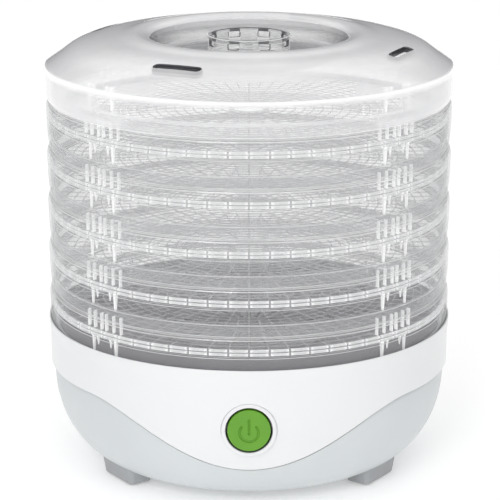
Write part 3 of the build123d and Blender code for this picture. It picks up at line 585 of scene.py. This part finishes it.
def bowlInside(z):
    return ellipseRadius(z, bowlR - baseLook["wall"], bowlTop, bowlTop - bowlFoot - 2 * baseLook["wall"])


# Height of the parting line: level round the back, and lowered at the front by a cosine over its
# half width, measured by how far the place is to the side. A few rounds settle radius and height.
def seamHeight(radiusAt, turns):
    level = ledge - baseLook["seamDrop"]
    z = np.full(turns.shape, level)
    for _ in range(8):
        side = np.arcsin(np.clip(radiusAt(z) * np.sin(turns) / bowlR, -1, 1)) / baseLook["seamHalf"]
        dip = baseLook["seamDip"] / 2 * (1 + np.cos(pi * np.clip(side, -1, 1)))
        z = level - dip * (np.cos(turns) > 0)
    return z


# Wall from a start height to an end height that may differ at each turn, dense near its start.
def wallRows(radiusAt, start, end, steps, bias=1.0):
    share = np.linspace(0, 1, steps) ** bias
    z = start[:, None] + (end - start)[:, None] * share
    return np.stack([radiusAt(z), z], -1)


def addUpperHousing():
    look = baseLook
    turns = evenTurns(look["segments"])
    seam = seamHeight(collarRadius, turns)
    edge = np.full(turns.shape, look["edge"])
    insideR = collarR - look["wall"]
    rimIn = rimR - look["rimWall"]
    spigotR = trayR - look["spigotInset"]
    spigotIn = spigotR - look["spigotWall"]
    deck = ledge - look["flangeThick"] - look["flangeDrop"]
    crown = softLine([
        (collarR, belt, 0), (collarR, ledge + look["slopeLow"], look["flareRound"]),
        (rimR, ledge + look["slopeHigh"], look["flareRound"]),
        (rimR, rimHigh.z, 0.0006), (rimIn, rimHigh.z, 0.0006), (rimIn, ledge, 0.0006),
        (spigotR, ledge, 0.0005), (spigotR, ledge + look["spigotHeight"], 0.0007),
        (spigotIn, ledge + look["spigotHeight"], 0.0007), (spigotIn, deck, 0.0004),
        (insideR - look["flangeWide"], deck, 0.0004),
        (insideR - look["flangeWide"], deck - look["flangeThick"], 0.0004),
        (insideR, deck - look["flangeThick"], 0.001), (insideR, belt, 0)], 4, False)
    outside = wallRows(collarRadius, seam + edge, np.full(turns.shape, belt - 0.0002), look["steps"])
    inside = wallRows(collarInside, np.full(turns.shape, belt - 0.0002), seam + edge, look["steps"])
    lip = np.stack([
        np.stack([collarInside(seam) + look["edge"], seam], -1),
        np.stack([collarRadius(seam) - look["edge"], seam], -1),
        np.stack([collarRadius(seam + 0.3 * edge) - 0.25 * look["edge"], seam + 0.3 * edge], -1)], 1)
    middle = np.broadcast_to(crown, (turns.size, *crown.shape))
    profile = np.concatenate([outside, middle, inside, lip], 1)
    piece = addPiece("upperHousing", ringShape(turnedUp(profile, turns)), "housing_white", "base",
                     "base_upper_housing")
    carve(piece, rodShape(look["buttonHole"], -0.2, -0.1, buttonZ, 96))
    return piece


def addLowerHousing():
    look = baseLook
    turns = evenTurns(look["segments"])
    seam = seamHeight(bowlRadius, turns) - look["seamGap"]
    start = np.full(turns.shape, bowlFoot)
    coverIn = look["coverRadius"] - look["coverLip"]
    coverTop = bowlFoot + look["coverThick"]
    floorTop = bowlFoot + 2 * look["wall"]
    outside = wallRows(bowlRadius, start + 0.00002, seam - look["edge"], 2 * look["steps"], 1.8)
    lip = np.stack([
        np.stack([bowlRadius(seam) - 0.3 * look["edge"], seam - 0.3 * look["edge"]], -1),
        np.stack([bowlRadius(seam) - look["edge"], seam], -1),
        np.stack([bowlInside(seam) + 0.5 * look["edge"], seam], -1)], 1)
    inside = wallRows(bowlInside, start + 2 * look["wall"] + 0.00002, seam - look["edge"],
                      2 * look["steps"], 1.8)[:, ::-1]
    floor = softLine([(floorR, floorTop, 0), (coverIn, floorTop, 0.0003), (coverIn, coverTop, 0.0003),
                      (look["coverRadius"], coverTop, 0.0003), (look["coverRadius"], bowlFoot, 0.0003),
                      (floorR, bowlFoot, 0)], 3, False)
    profile = np.concatenate([outside, lip, inside, np.broadcast_to(floor, (turns.size, *floor.shape))], 1)
    piece = addPiece("lowerHousing", ringShape(turnedUp(profile, turns)), "housing_pale_grey", "base",
                     "base_lower_housing")
    padFace = glandHigh.y - look["glandSink"]
    glandZ = (glandLow.z + glandHigh.z) / 2
    carve(piece, rodShape(look["glandPad"], glandLow.y + look["glandGrip"], padFace, glandZ, 72), "UNION")
    carve(piece, rodShape(look["glandHole"], glandLow.y - look["glandPast"],
                          padFace + look["glandPast"], glandZ, 48))
    return piece


addUpperHousing()
addLowerHousing()
print("housings made")

footLook = {"length": 0.046, "width": 0.024, "corner": 0.005, "taper": radians(8), "edge": 0.0012,
            "top": 0.018, "circleOut": 0.013, "rows": 10,
            "frontTurn": 56, "rearTurn": 124, "intoBowl": 0.0004}


# Foot: a rounded rectangle that widens upwards by the taper, drawn in along its bottom edge, and cut
# off above by the bowl's own surface.
def addFoot(name):
    look = footLook
    low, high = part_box(name)
    bottom = low.z
    middle = (low + high) / 2
    turn = np.round(np.degrees(np.arctan2(middle.x, -middle.y)))
    turn = np.sign(turn) * (look["frontTurn"] if abs(turn) < 90 else look["rearTurn"])
    half = (look["length"] / 2, look["width"] / 2)
    corners = [(-half[0], -half[1]), (half[0], -half[1]), (half[0], half[1]), (-half[0], half[1])]
    loop = softLine([(x, y, look["corner"]) for x, y in corners], 8)
    share = np.linspace(0, 1, look["rows"])[:, None]
    radius = np.hypot(loop[:, 0], loop[:, 1] - floorR - look["circleOut"])
    ceiling = bowlTop - (bowlTop - bowlFoot) * np.sqrt(
        1 - np.clip((radius - floorR) / (bowlR - floorR), 0, 1) ** 2) + look["intoBowl"]
    z = bottom + look["edge"] + (ceiling - bottom - look["edge"]) * share
    inset = (look["top"] - z) * np.tan(look["taper"])
    narrow = np.stack([(half[0] - inset) / half[0], (half[1] - inset) / half[1]], -1)
    body = np.dstack([loop * narrow, z])
    sole = []
    for shrink, up in ((0.95, 0.0), (0.985, 0.3)):
        height = np.full((1, len(loop)), bottom + up * look["edge"])
        sole.append(np.dstack([(loop * narrow[0] * shrink)[None], height]))
    rows = np.vstack([*sole, body])
    rows[..., 1] -= floorR + look["circleOut"]
    addPiece(name.replace("foot_", "foot-"), stampAround(loftShape(rows), [radians(turn)]), "foot_grey",
             "base", name)


for name in footNames:
    addFoot(name)
print("feet made:", len(footNames))

buttonLook = {"domeRise": 0.0006, "edge": 0.0012, "symbolRadius": 0.0072, "symbolLow": 0.0015,
              "stroke": 0.0010, "barLength": 0.0128, "barMiddle": 0.0029, "gapHalf": radians(43),
              "skirt": 0.0085, "bezelBore": 0.0181, "bezelRound": 0.0016, "bezelSleeve": 0.0213,
              "lip": 0.002, "stemHole": 0.0045, "stem": 0.004, "shadowSleeveThick": 0.0003, "shadowSleeveDrop": 0.0014}


def addButton():
    look = buttonLook
    radius = (capHigh.x - capLow.x) / 2
    front, back = -capLow.y, -capHigh.y
    turns = evenTurns(128)
    dome = np.linspace(1, 0.02, 12) * (radius - look["edge"])
    crown = front - look["domeRise"] * (dome / radius) ** 2
    rim = softLine([(radius, front - look["skirt"], 0.0002), (radius, front - look["domeRise"], look["edge"]),
                    (radius - look["edge"], crown[0], 0)], 6, False)
    face = np.stack([dome, crown], -1)[1:]
    under = np.array([(0.0002, back), (look["stem"] - 0.0003, back), (look["stem"], back + 0.0003),
                      (look["stem"], front - look["skirt"])])
    shape = loftShape(turnedForward(np.vstack([under, rim, face]), turns, buttonZ).swapaxes(0, 1))
    piece = addPiece("buttonCap", shape, "button_green", "button", "button_cap")
    a = np.linspace(look["gapHalf"], 2 * pi - look["gapHalf"], 72)
    centre = np.array([0, -front + 0.0002, buttonZ - look["symbolLow"]])
    arc = centre + look["symbolRadius"] * np.stack([np.sin(a), 0 * a, np.cos(a)], -1)
    up = look["barMiddle"] + look["barLength"] / 2 * np.cos(np.linspace(pi, 0, 30))
    bar = np.stack([0 * up, 0 * up - front + 0.0002, buttonZ + up], -1)
    carve(piece, tubeShape(arc, look["stroke"]))
    carve(piece, tubeShape(bar, look["stroke"]))
    shadeSoft(piece, 50)


def addBezel():
    look = buttonLook
    front, back = -bezelLow.y, -bezelHigh.y
    flange = bezelHigh.x
    profile = softLine([
        (look["stemHole"], back, 0.0002), (flange, back, 0.0003), (flange, back + look["lip"], 0.0003),
        (look["bezelSleeve"], back + look["lip"], 0.0002), (look["bezelSleeve"], front, look["bezelRound"]),
        (look["bezelBore"], front, 0.0007), (look["bezelBore"], back + look["lip"], 0.0003),
        (look["stemHole"], back + look["lip"], 0.0002)], 7)
    addPiece("buttonBezel", ringShape(turnedForward(profile, evenTurns(128), buttonZ)), "bezel_white", "base",
             "button_bezel")
    # painted shadow: a thin dark sleeve on the bore's wall makes the gap round the button read black
    bore, thick = look["bezelBore"], look["shadowSleeveThick"]
    shadowSleeve = softLine([(bore - thick, back + look["lip"], 0.0001), (bore + thick, back + look["lip"], 0.0001),
                      (bore + thick, front - look["shadowSleeveDrop"], 0.0001),
                      (bore - thick, front - look["shadowSleeveDrop"], 0.0001)], 3)
    addPiece("bezelShadowSleeve", ringShape(turnedForward(shadowSleeve, evenTurns(96), buttonZ)), "terminal_plastic",
             "base")


addButton()
addBezel()
print("button made")

# Trays: a clear wall with a spigot on top, stacking lugs, and a grid floor

trayLook = {
    "seamInset": 0.0024, "skirtInset": 0.0009, "skirtTop": 0.0103, "bellyUp": 0.0323, "skirtWall": 0.0015,
    "spigotHeight": 0.0093, "spigotWall": 0.0022, "fitGap": 0.0005, "shoulder": 0.002, "gridDrop": 0.0098,
    "gridDeep": 0.005, "gridSeat": 0.003, "segments": 320,
    "lugTurn": 45.7, "ribTurns": (-6.8, -4.0, -1.0, 1.0, 4.0, 6.8), "postTurn": 4.75, "spikeTurn": 2.7,
    "lugWide": 0.0008, "postWide": 0.0027, "thinPost": 0.0014, "lugDeep": 0.003, "spikeLong": 0.008,
    "ribDeeper": 0.001, "postTip": 0.6, "spikeTip": 0.3,
}
gridLook = {"rings": 19, "ringWide": 0.0010, "ringThick": 0.0009, "hubRadius": 0.0148, "hubWide": 0.0016,
            "hubThick": 0.003, "barWide": 0.0010, "barThick": 0.0011, "barDrop": 0.0002,
            "zones": ((0.0155, 0.044, 16), (0.044, 0.081, 32), (0.081, 0.1575, 64)),
            "rimParts": 64, "rimGap": 0.0018, "rimTall": 0.0019, "rimStep": 0.0031, "rimBack": 0.0010}
seamR = trayR - trayLook["seamInset"]
spigotR = seamR - trayLook["skirtWall"] - trayLook["fitGap"]
spigotIn = spigotR - trayLook["spigotWall"]
trayStep = trayHigh.z - trayLow.z - trayLook["spigotHeight"]
gridTop = trayHigh.z - trayLow.z - trayLook["spigotHeight"] + 0.0003 - trayLook["gridDrop"]


# Turns of the four clusters of lugs, each with the offset added, measured away from the front axis
# at the front and away from the back axis at the back.
def lugTurns(*offsets):
    turns = [side * (trayLook["lugTurn"] + offset) for side in (-1, 1) for offset in offsets]
    return [radians(turn + back) for back in (0, 180) for turn in turns]


# A lug on the front axis: a soft block whose outer face lies on a radius.
def lugShape(width, deep, outer, low, high, tip=1.0):
    return softBlock((-width / 2, -outer, low), (width / 2, deep - outer, high), 0.0003, tip)


# The two posts and two spikes of each cluster, hanging from a root down to a bottom height.
def stackingLugs(bottom, root):
    look = trayLook
    post = lugShape(look["postWide"], look["lugDeep"], spigotR, bottom, root, look["postTip"])
    thin = lugShape(look["thinPost"], look["lugDeep"], spigotR, bottom, root, look["postTip"])
    spikes = lugShape(look["thinPost"], look["lugDeep"], spigotR, root - look["spikeLong"], root,
                      look["spikeTip"])
    return joinShapes(stampAround(post, lugTurns(-look["postTurn"])),
                      stampAround(thin, lugTurns(look["postTurn"])),
                      stampAround(spikes, lugTurns(-look["spikeTurn"], look["spikeTurn"])))


def trayWallShape():
    look = trayLook
    lower = flowLine([(seamR, 0.0002), (seamR + 0.0007, 0.004),
                      (trayR - look["skirtInset"], look["skirtTop"]),
                      (trayR - 0.0002, 0.024), (trayR, look["bellyUp"])], 5)
    a = np.linspace(0.12, pi / 2, 9)
    upper = np.stack([seamR + look["seamInset"] * np.cos(a),
                      look["bellyUp"] + (trayStep - look["bellyUp"]) * np.sin(a)], -1)
    seat = gridTop - look["gridDeep"]
    lip = look["spigotHeight"] + look["fitGap"]
    rest = softLine([
        (seamR - 0.0002, trayStep, 0), (spigotR, trayStep, 0.0005),
        (spigotR, trayStep + look["spigotHeight"], 0.0007),
        (spigotIn, trayStep + look["spigotHeight"], 0.0007), (spigotIn, trayStep - look["shoulder"], 0.0006),
        (seamR, trayStep - look["shoulder"], 0.001), (seamR, seat, 0.0002),
        (seamR - look["gridSeat"], seat, 0.0004), (seamR - look["gridSeat"], seat - look["shoulder"], 0.0004),
        (seamR, seat - look["shoulder"], 0.0006), (seamR, lip + look["skirtWall"], 0.0008),
        (seamR - look["skirtWall"], lip, 0.0006), (seamR - look["skirtWall"], 0, 0.0004),
        (seamR, 0, 0)], 4, False)
    return ringShape(turnedUp(np.vstack([lower, upper, rest]), evenTurns(look["segments"])))


def trayLugsShape():
    look = trayLook
    ribs = lugShape(look["lugWide"], look["spigotWall"] + look["ribDeeper"], spigotR, gridTop,
                    trayStep + look["spigotHeight"] / 2)
    return joinShapes(stampAround(ribs, lugTurns(*look["ribTurns"])),
                      stackingLugs(look["spigotHeight"], gridTop - look["gridDeep"]))


# A flat ring of rectangular section with soft edges.
def bandShape(inner, outer, low, high, segments, edge=0.0003):
    loop = softLine([(inner, low, edge), (outer, low, edge), (outer, high, edge), (inner, high, edge)], 3)
    return ringShape(turnedUp(loop, evenTurns(segments)))


# The lattice with its thin ring, and the rails of its rim.
def trayGridShapes():
    look = gridLook
    outer = seamR - trayLook["gridSeat"]
    radii = np.linspace(look["hubRadius"], outer, look["rings"] + 1)
    low = gridTop - look["ringThick"]
    rings = [bandShape(look["hubRadius"] - look["hubWide"] / 2, look["hubRadius"] + look["hubWide"],
                       gridTop - look["hubThick"], gridTop, 96)]
    rings += [bandShape(r - look["ringWide"] / 2, r + look["ringWide"] / 2, low, gridTop, 64 + int(900 * r))
              for r in radii[1:-1]]
    bars = []
    for start, end, count in look["zones"]:
        bar = softBlock((-look["barWide"] / 2, -end, gridTop - look["barDrop"] - look["barThick"]),
                        (look["barWide"] / 2, -start, gridTop - look["barDrop"]), 0.0003)
        bars.append(stampAround(bar, evenTurns(count)))
    # the rim: two rails of short arcs with gaps between them, on a thin ring behind
    rimR = seamR - 0.0001
    railIn = outer + look["rimBack"]
    half = pi / look["rimParts"] - look["rimGap"] / 2 / rimR
    arcs = []
    for top in (gridTop, gridTop - look["rimStep"]):
        loop = softLine([(railIn, top - look["rimTall"], 0.0003), (rimR, top - look["rimTall"], 0.0003),
                         (rimR, top, 0.0005), (railIn, top, 0.0003)], 3)
        arc = loftShape(turnedUp(loop, np.linspace(-half, half, 6)))
        arcs.append(stampAround(arc, evenTurns(look["rimParts"]) + pi / look["rimParts"]))
    back = bandShape(outer, railIn, gridTop - look["rimStep"] - look["rimTall"], gridTop, 256)
    return joinShapes(back, *rings, *bars), joinShapes(*arcs)


def addTrays():
    wall, lugs = trayWallShape(), trayLugsShape()
    grid, rim = trayGridShapes()
    for number in trayNumbers:
        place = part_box(f"tray_{number}_wall")[0].z
        body = f"tray_{number}"
        addPiece(f"trayWall{number}", raised(wall, place), "clear_plastic", body, f"tray_{number}_wall")
        addPiece(f"trayGrid{number}", raised(grid, place), "clear_plastic", body, f"tray_{number}_grid",
                 finish=gridFinish)
        # the rim rails and the lugs take the finish with the stronger painted glow
        addPiece(f"trayRim{number}", raised(rim, place), "clear_plastic", body, finish=lugGlowFinish)
        addPiece(f"trayLugs{number}", raised(lugs, place), "clear_plastic", body, finish=lugGlowFinish)


addTrays()
print("trays made:", len(trayNumbers))

# Lid: straight wall, dome over a crest, finger dish with vent openings, four slots

lidLook = {
    "wall": 0.0022, "crestTall": 0.0244, "dishRadius": 0.077, "dishDrop": 0.019,
    "dishSlope": 0.012, "lipWide": 0.0035, "lipTall": 0.0022, "flareTall": 0.007,
    "slots": 4, "slotInset": 0.033, "slotLong": 0.040, "slotWide": 0.008, "slotTurn": -24.5,
    "collarWall": 0.0016, "collarDrop": 0.0074, "collarSlope": 0.316, "collarTall": 0.0035,
    "ventRadius": 0.027, "hubRadius": 0.009, "ventTurn": 45, "vents": 4,
    "slotPast": 0.02, "ventUnder": 0.01, "ventOver": 0.005, "pinRadius": 0.003, "pinTall": 0.010,
    "rise": ((1.0, 0.0), (0.889, 0.27), (0.76, 0.57), (0.561, 0.79), (0.3275, 0.918), (0.129, 1.0)),
    "segments": 384, "overshoot": 0.00025,
}
lidLow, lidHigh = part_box("lid")
lidR = lidHigh.x
crest = lidHigh.z - lidLook["overshoot"]
sideTop = crest - lidLook["crestTall"]
dishZ = crest - lidLook["dishDrop"]


# The dome's outside from the top of the straight wall to the middle of the dish.
def domeLine():
    look = lidLook
    span = lidR - look["dishRadius"]
    floorAt = look["dishRadius"] - look["dishSlope"]
    points = [(look["dishRadius"] + across * span, sideTop + up * look["crestTall"])
              for across, up in look["rise"]]
    points += [(look["dishRadius"] + look["lipWide"], crest - look["lipTall"]),
               (look["dishRadius"], crest - 3 * look["lipTall"]),
               (look["dishRadius"] - look["dishSlope"] / 2, dishZ + look["lipTall"]),
               (floorAt, dishZ + 0.0001), (floorAt - 0.003, dishZ)]
    return flowLine(points, 7)


# Outline of a slot: two half circles joined by straight sides, turned about the lid's axis.
def slotLoop(long, wide, away, turn):
    a = np.linspace(-pi / 2, pi / 2, 13)
    right = np.stack([(long - wide) / 2 + wide / 2 * np.cos(a), wide / 2 * np.sin(a)], -1)
    loop = np.vstack([right, -right]) - np.array([0, away])
    c, s = np.cos(turn), np.sin(turn)
    return loop @ np.array([[c, s], [-s, c]])


# Collar under a slot: a hollow upright wall whose top follows the dome's slope there.
def collarShape(turn):
    look = lidLook
    away = lidR - look["slotInset"]
    loops = [slotLoop(look["slotLong"] + grow, look["slotWide"] + grow, away, turn)
             for grow in (look["collarWall"], look["collarWall"], 0, 0)]
    top = [crest - look["collarDrop"] - look["collarSlope"] * (np.hypot(*loop.T) - away) for loop in loops]
    heights = [top[0] - look["collarTall"], top[1], top[2], top[3] - look["collarTall"]]
    return ringShape(np.stack([np.column_stack([loop, z]) for loop, z in zip(loops, heights)]))


# Outline of a ring sector between two radii.
def sectorLoop(inner, outer, start, end):
    a = np.linspace(start, end, 16)
    arc = np.stack([np.sin(a), -np.cos(a)], -1)
    return np.vstack([inner * arc, outer * arc[::-1]])


def addLid():
    look = lidLook
    dome = domeLine()
    under = besideLine(dome, look["wall"])[::-1]
    foot = seamR - trayLook["skirtWall"]
    lip = lidLow.z + trayLook["spigotHeight"] + trayLook["fitGap"]
    under = under[under[:, 0] < lidR - look["wall"] - 0.0001]
    inner = np.vstack([under, softLine([
        (lidR - look["wall"], sideTop - 0.002, 0), (lidR - look["wall"], sideTop - 0.004, 0),
        (lidR - look["wall"], lip + trayLook["skirtWall"] + 0.004, 0),
        (lidR - look["wall"], lip + trayLook["skirtWall"], 0.0008),
        (foot, lip, 0.0006), (foot, lidLow.z, 0.0005), (seamR, lidLow.z, 0.0004)], 4, False)])
    side = flowLine([(seamR + 0.0004, lidLow.z + 0.0003), (lidR - 0.0007, lidLow.z + 0.0032),
                     (lidR, lidLow.z + look["flareTall"]), (lidR, lidLow.z + 2 * look["flareTall"]),
                     (lidR, sideTop - 0.006)], 5)
    pin = softLine([(0.0001, dishZ + look["pinTall"], 0),
                    (look["pinRadius"], dishZ + look["pinTall"], 0.0004),
                    (look["pinRadius"], dishZ, 0.0004), (look["ventRadius"] + 0.002, dishZ, 0)], 4, False)
    outline = np.vstack([pin, dome[::-1], side[::-1], inner[::-1], [(0.0001, dishZ - look["wall"])]])
    shape = loftShape(turnedUp(outline, evenTurns(look["segments"])).swapaxes(0, 1))
    piece = addPiece("lid", shape, "clear_plastic", "lid", "lid", finish=lidFinish)
    slotTurns = [radians(look["slotTurn"] + 360 / look["slots"] * k) for k in range(look["slots"])]
    # the slot and vent cuts get dark faces: painted shade
    for turn in slotTurns:
        loop = slotLoop(look["slotLong"], look["slotWide"], lidR - look["slotInset"], turn)
        carve(piece, prismShape(loop, dishZ, crest + look["slotPast"]), finish=cutFaceShade)
    for k in range(look["vents"]):
        start = 2 * pi * k / look["vents"]
        vent = sectorLoop(look["hubRadius"], look["ventRadius"], start, start + radians(look["ventTurn"]))
        carve(piece, prismShape(vent, dishZ - look["ventUnder"], dishZ + look["ventOver"]), finish=cutFaceShade)
    # the collars under the slots are painted dark: painted shade
    addPiece("lidCollars", joinShapes(*[collarShape(turn) for turn in slotTurns]), "clear_plastic", "lid",
             finish=cutFaceShade)
    # painted shade: the dish's faces take the darker copy of the lid's finish
    dishWall = look["dishRadius"] + look["lipWide"] / 2
    paintFaces(piece, lambda middle, normal: np.linalg.norm(middle[:, :2], axis=1) < dishWall, dishShadeFinish)
    addPiece("lidLugs", stackingLugs(lidLow.z + trayLook["spigotHeight"], sideTop + look["wall"] + 0.0008),
             "clear_plastic", "lid", finish=lugGlowFinish)


addLid()
print("lid made")

dialLook = {"wall": 0.0022, "floor": 0.002, "rimTall": 0.003, "rimOut": 0.0007, "ribPitch": 0.0019,
            "ribOut": 0.0005, "windows": 8, "windowWide": 0.010, "windowTall": 0.005, "hubRadius": 0.0065,
            "hubTall": 0.006, "pinRun": 0.00306}
dialLow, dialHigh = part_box("vent_dial")


# Dial: a cup whose outside swells by a squared sine into round ribs below its plain rim.
def addDial():
    look = dialLook
    low, top = dialLow.z, dialHigh.z
    wallR = dialHigh.x - look["rimOut"]
    ribTop = top - look["rimTall"] - look["windowTall"] * 0.2
    z = np.linspace(low + 0.0006, ribTop, 56)
    swell = look["ribOut"] * np.sin(pi * (z - low) / look["ribPitch"]) ** 2
    ribs = np.stack([wallR + swell - look["ribOut"] / 2, z], -1)
    rim = softLine([(wallR, ribTop + 0.0001, 0), (wallR, top - look["rimTall"], 0.0003),
                    (wallR + look["rimOut"], top - look["rimTall"], 0.0004),
                    (wallR + look["rimOut"], top, 0.0008),
                    (wallR - look["wall"], top, 0.0008), (wallR - look["wall"], low + look["floor"], 0.001),
                    (look["hubRadius"], low + look["floor"], 0.0006),
                    (look["hubRadius"], low + look["hubTall"], 0.0005),
                    (look["pinRun"], low + look["hubTall"], 0.0003), (look["pinRun"], low, 0.0003),
                    (wallR - look["ribOut"], low, 0.0003)], 4, False)
    profile = np.vstack([ribs, rim])
    piece = addPiece("ventDial", ringShape(turnedUp(profile, evenTurns(256))), "clear_plastic", "dial",
                     "vent_dial")
    windowTop = top - look["rimTall"]
    half = look["windowWide"] / 2
    window = softBlock((-half, -wallR - 0.005, windowTop - look["windowTall"]),
                       (half, -wallR + 0.006, windowTop), 0.0008)
    # the window cuts get dark faces: painted shade
    carve(piece, stampAround(window, evenTurns(look["windows"]) + pi / look["windows"]), finish=cutFaceShade)
    for k in range(lidLook["vents"]):
        start = 2 * pi * k / lidLook["vents"]
        vent = sectorLoop(lidLook["hubRadius"], lidLook["ventRadius"], start,
                          start + radians(lidLook["ventTurn"]))
        carve(piece, prismShape(vent, low - 0.003, low + look["floor"] + 0.003))
    markEdges(piece)
    # painted shade: the rim's inward faces above the windows are drawn dark
    paintFaces(piece, lambda middle, normal: (middle[:, 2] > windowTop) & (
        np.sum(middle[:, :2] * normal[:, :2], 1) < -0.3 * np.linalg.norm(middle[:, :2], axis=1)), cutFaceShade)


addDial()
print("dial made")

# Floor, light and camera

stageLook = {"floorHalf": 6.0, "floorColour": (0.93, 0.93, 0.93), "floorGlow": 0.24, "worldStrength": 1.0,
             "horizon": (0.22, 0.22, 0.23), "ceiling": (1.0, 1.0, 1.0),
             "ceilingFrom": 0.30, "ceilingTo": 0.62}
lights = {
    "key": {"place": (-0.8, -2.5, 1.5), "size": 1.1, "power": 20.0},
    "fill": {"place": (0.9, -2.4, 0.9), "size": 1.4, "power": 6.0},
}
cameraLook = {"place": (0.0, -1.8274, 0.6772), "down": 15.448, "lens": 167.26, "shift": 0.002}


def addStage():
    half = stageLook["floorHalf"]
    corners = np.array([(-half, -half, 0), (half, -half, 0), (half, half, 0), (-half, half, 0)], float)
    floor = bpy.data.objects.new("floor", meshFrom("floor", (corners, [np.array([[0, 1, 2, 3]])])))
    f = Finish("floorPaint")
    mottle = f.noise(1.2, 2.0)
    colour = f.blend(mottle * 0.1, stageLook["floorColour"], (0.9, 0.9, 0.9))
    floor.data.materials.append(f.close(Base_Color=colour, Roughness=0.7, Emission_Color=(1, 1, 1, 1),
                                        Emission_Strength=stageLook["floorGlow"]))
    bpy.context.scene.collection.objects.link(floor)
    # the room: dim near the horizon, bright overhead, with a smooth step on the height of the direction
    world = bpy.data.worlds.new("studio")
    world.use_nodes = True
    nodes, links = world.node_tree.nodes, world.node_tree.links
    background = nodes["Background"]
    background.inputs["Strength"].default_value = stageLook["worldStrength"]
    towards = nodes.new("ShaderNodeTexCoord")
    height = nodes.new("ShaderNodeSeparateXYZ")
    step = nodes.new("ShaderNodeMapRange")
    step.interpolation_type = "SMOOTHSTEP"
    step.inputs["From Min"].default_value = stageLook["ceilingFrom"]
    step.inputs["From Max"].default_value = stageLook["ceilingTo"]
    room = nodes.new("ShaderNodeMix")
    room.data_type = "RGBA"
    room.inputs[6].default_value = (*stageLook["horizon"], 1)
    room.inputs[7].default_value = (*stageLook["ceiling"], 1)
    links.new(towards.outputs["Generated"], height.inputs[0])
    links.new(height.outputs["Z"], step.inputs["Value"])
    links.new(step.outputs["Result"], room.inputs[0])
    links.new(room.outputs[2], background.inputs["Color"])
    bpy.context.scene.world = world


def addLights():
    aim = Vector((0, 0, 0.2))
    for name, look in lights.items():
        lamp = bpy.data.lights.new(name, "AREA")
        lamp.size, lamp.energy = look["size"], look["power"]
        holder = bpy.data.objects.new(name, lamp)
        holder.location = look["place"]
        holder.rotation_euler = (aim - Vector(look["place"])).to_track_quat("-Z", "Y").to_euler()
        bpy.context.scene.collection.objects.link(holder)


def addCamera():
    lens = bpy.data.cameras.new("camera")
    lens.lens, lens.sensor_width, lens.shift_x = cameraLook["lens"], 36.0, cameraLook["shift"]
    lens.clip_end = 50
    camera = bpy.data.objects.new("camera", lens)
    camera.location = cameraLook["place"]
    camera.rotation_euler = (radians(90 - cameraLook["down"]), 0, 0)
    bpy.context.scene.collection.objects.link(camera)
    bpy.context.scene.camera = camera


addStage()
addLights()
addCamera()
bpy.context.scene.view_settings.view_transform = "Standard"
bpy.context.scene.cycles.transparent_max_bounces = 64
print("stage made")
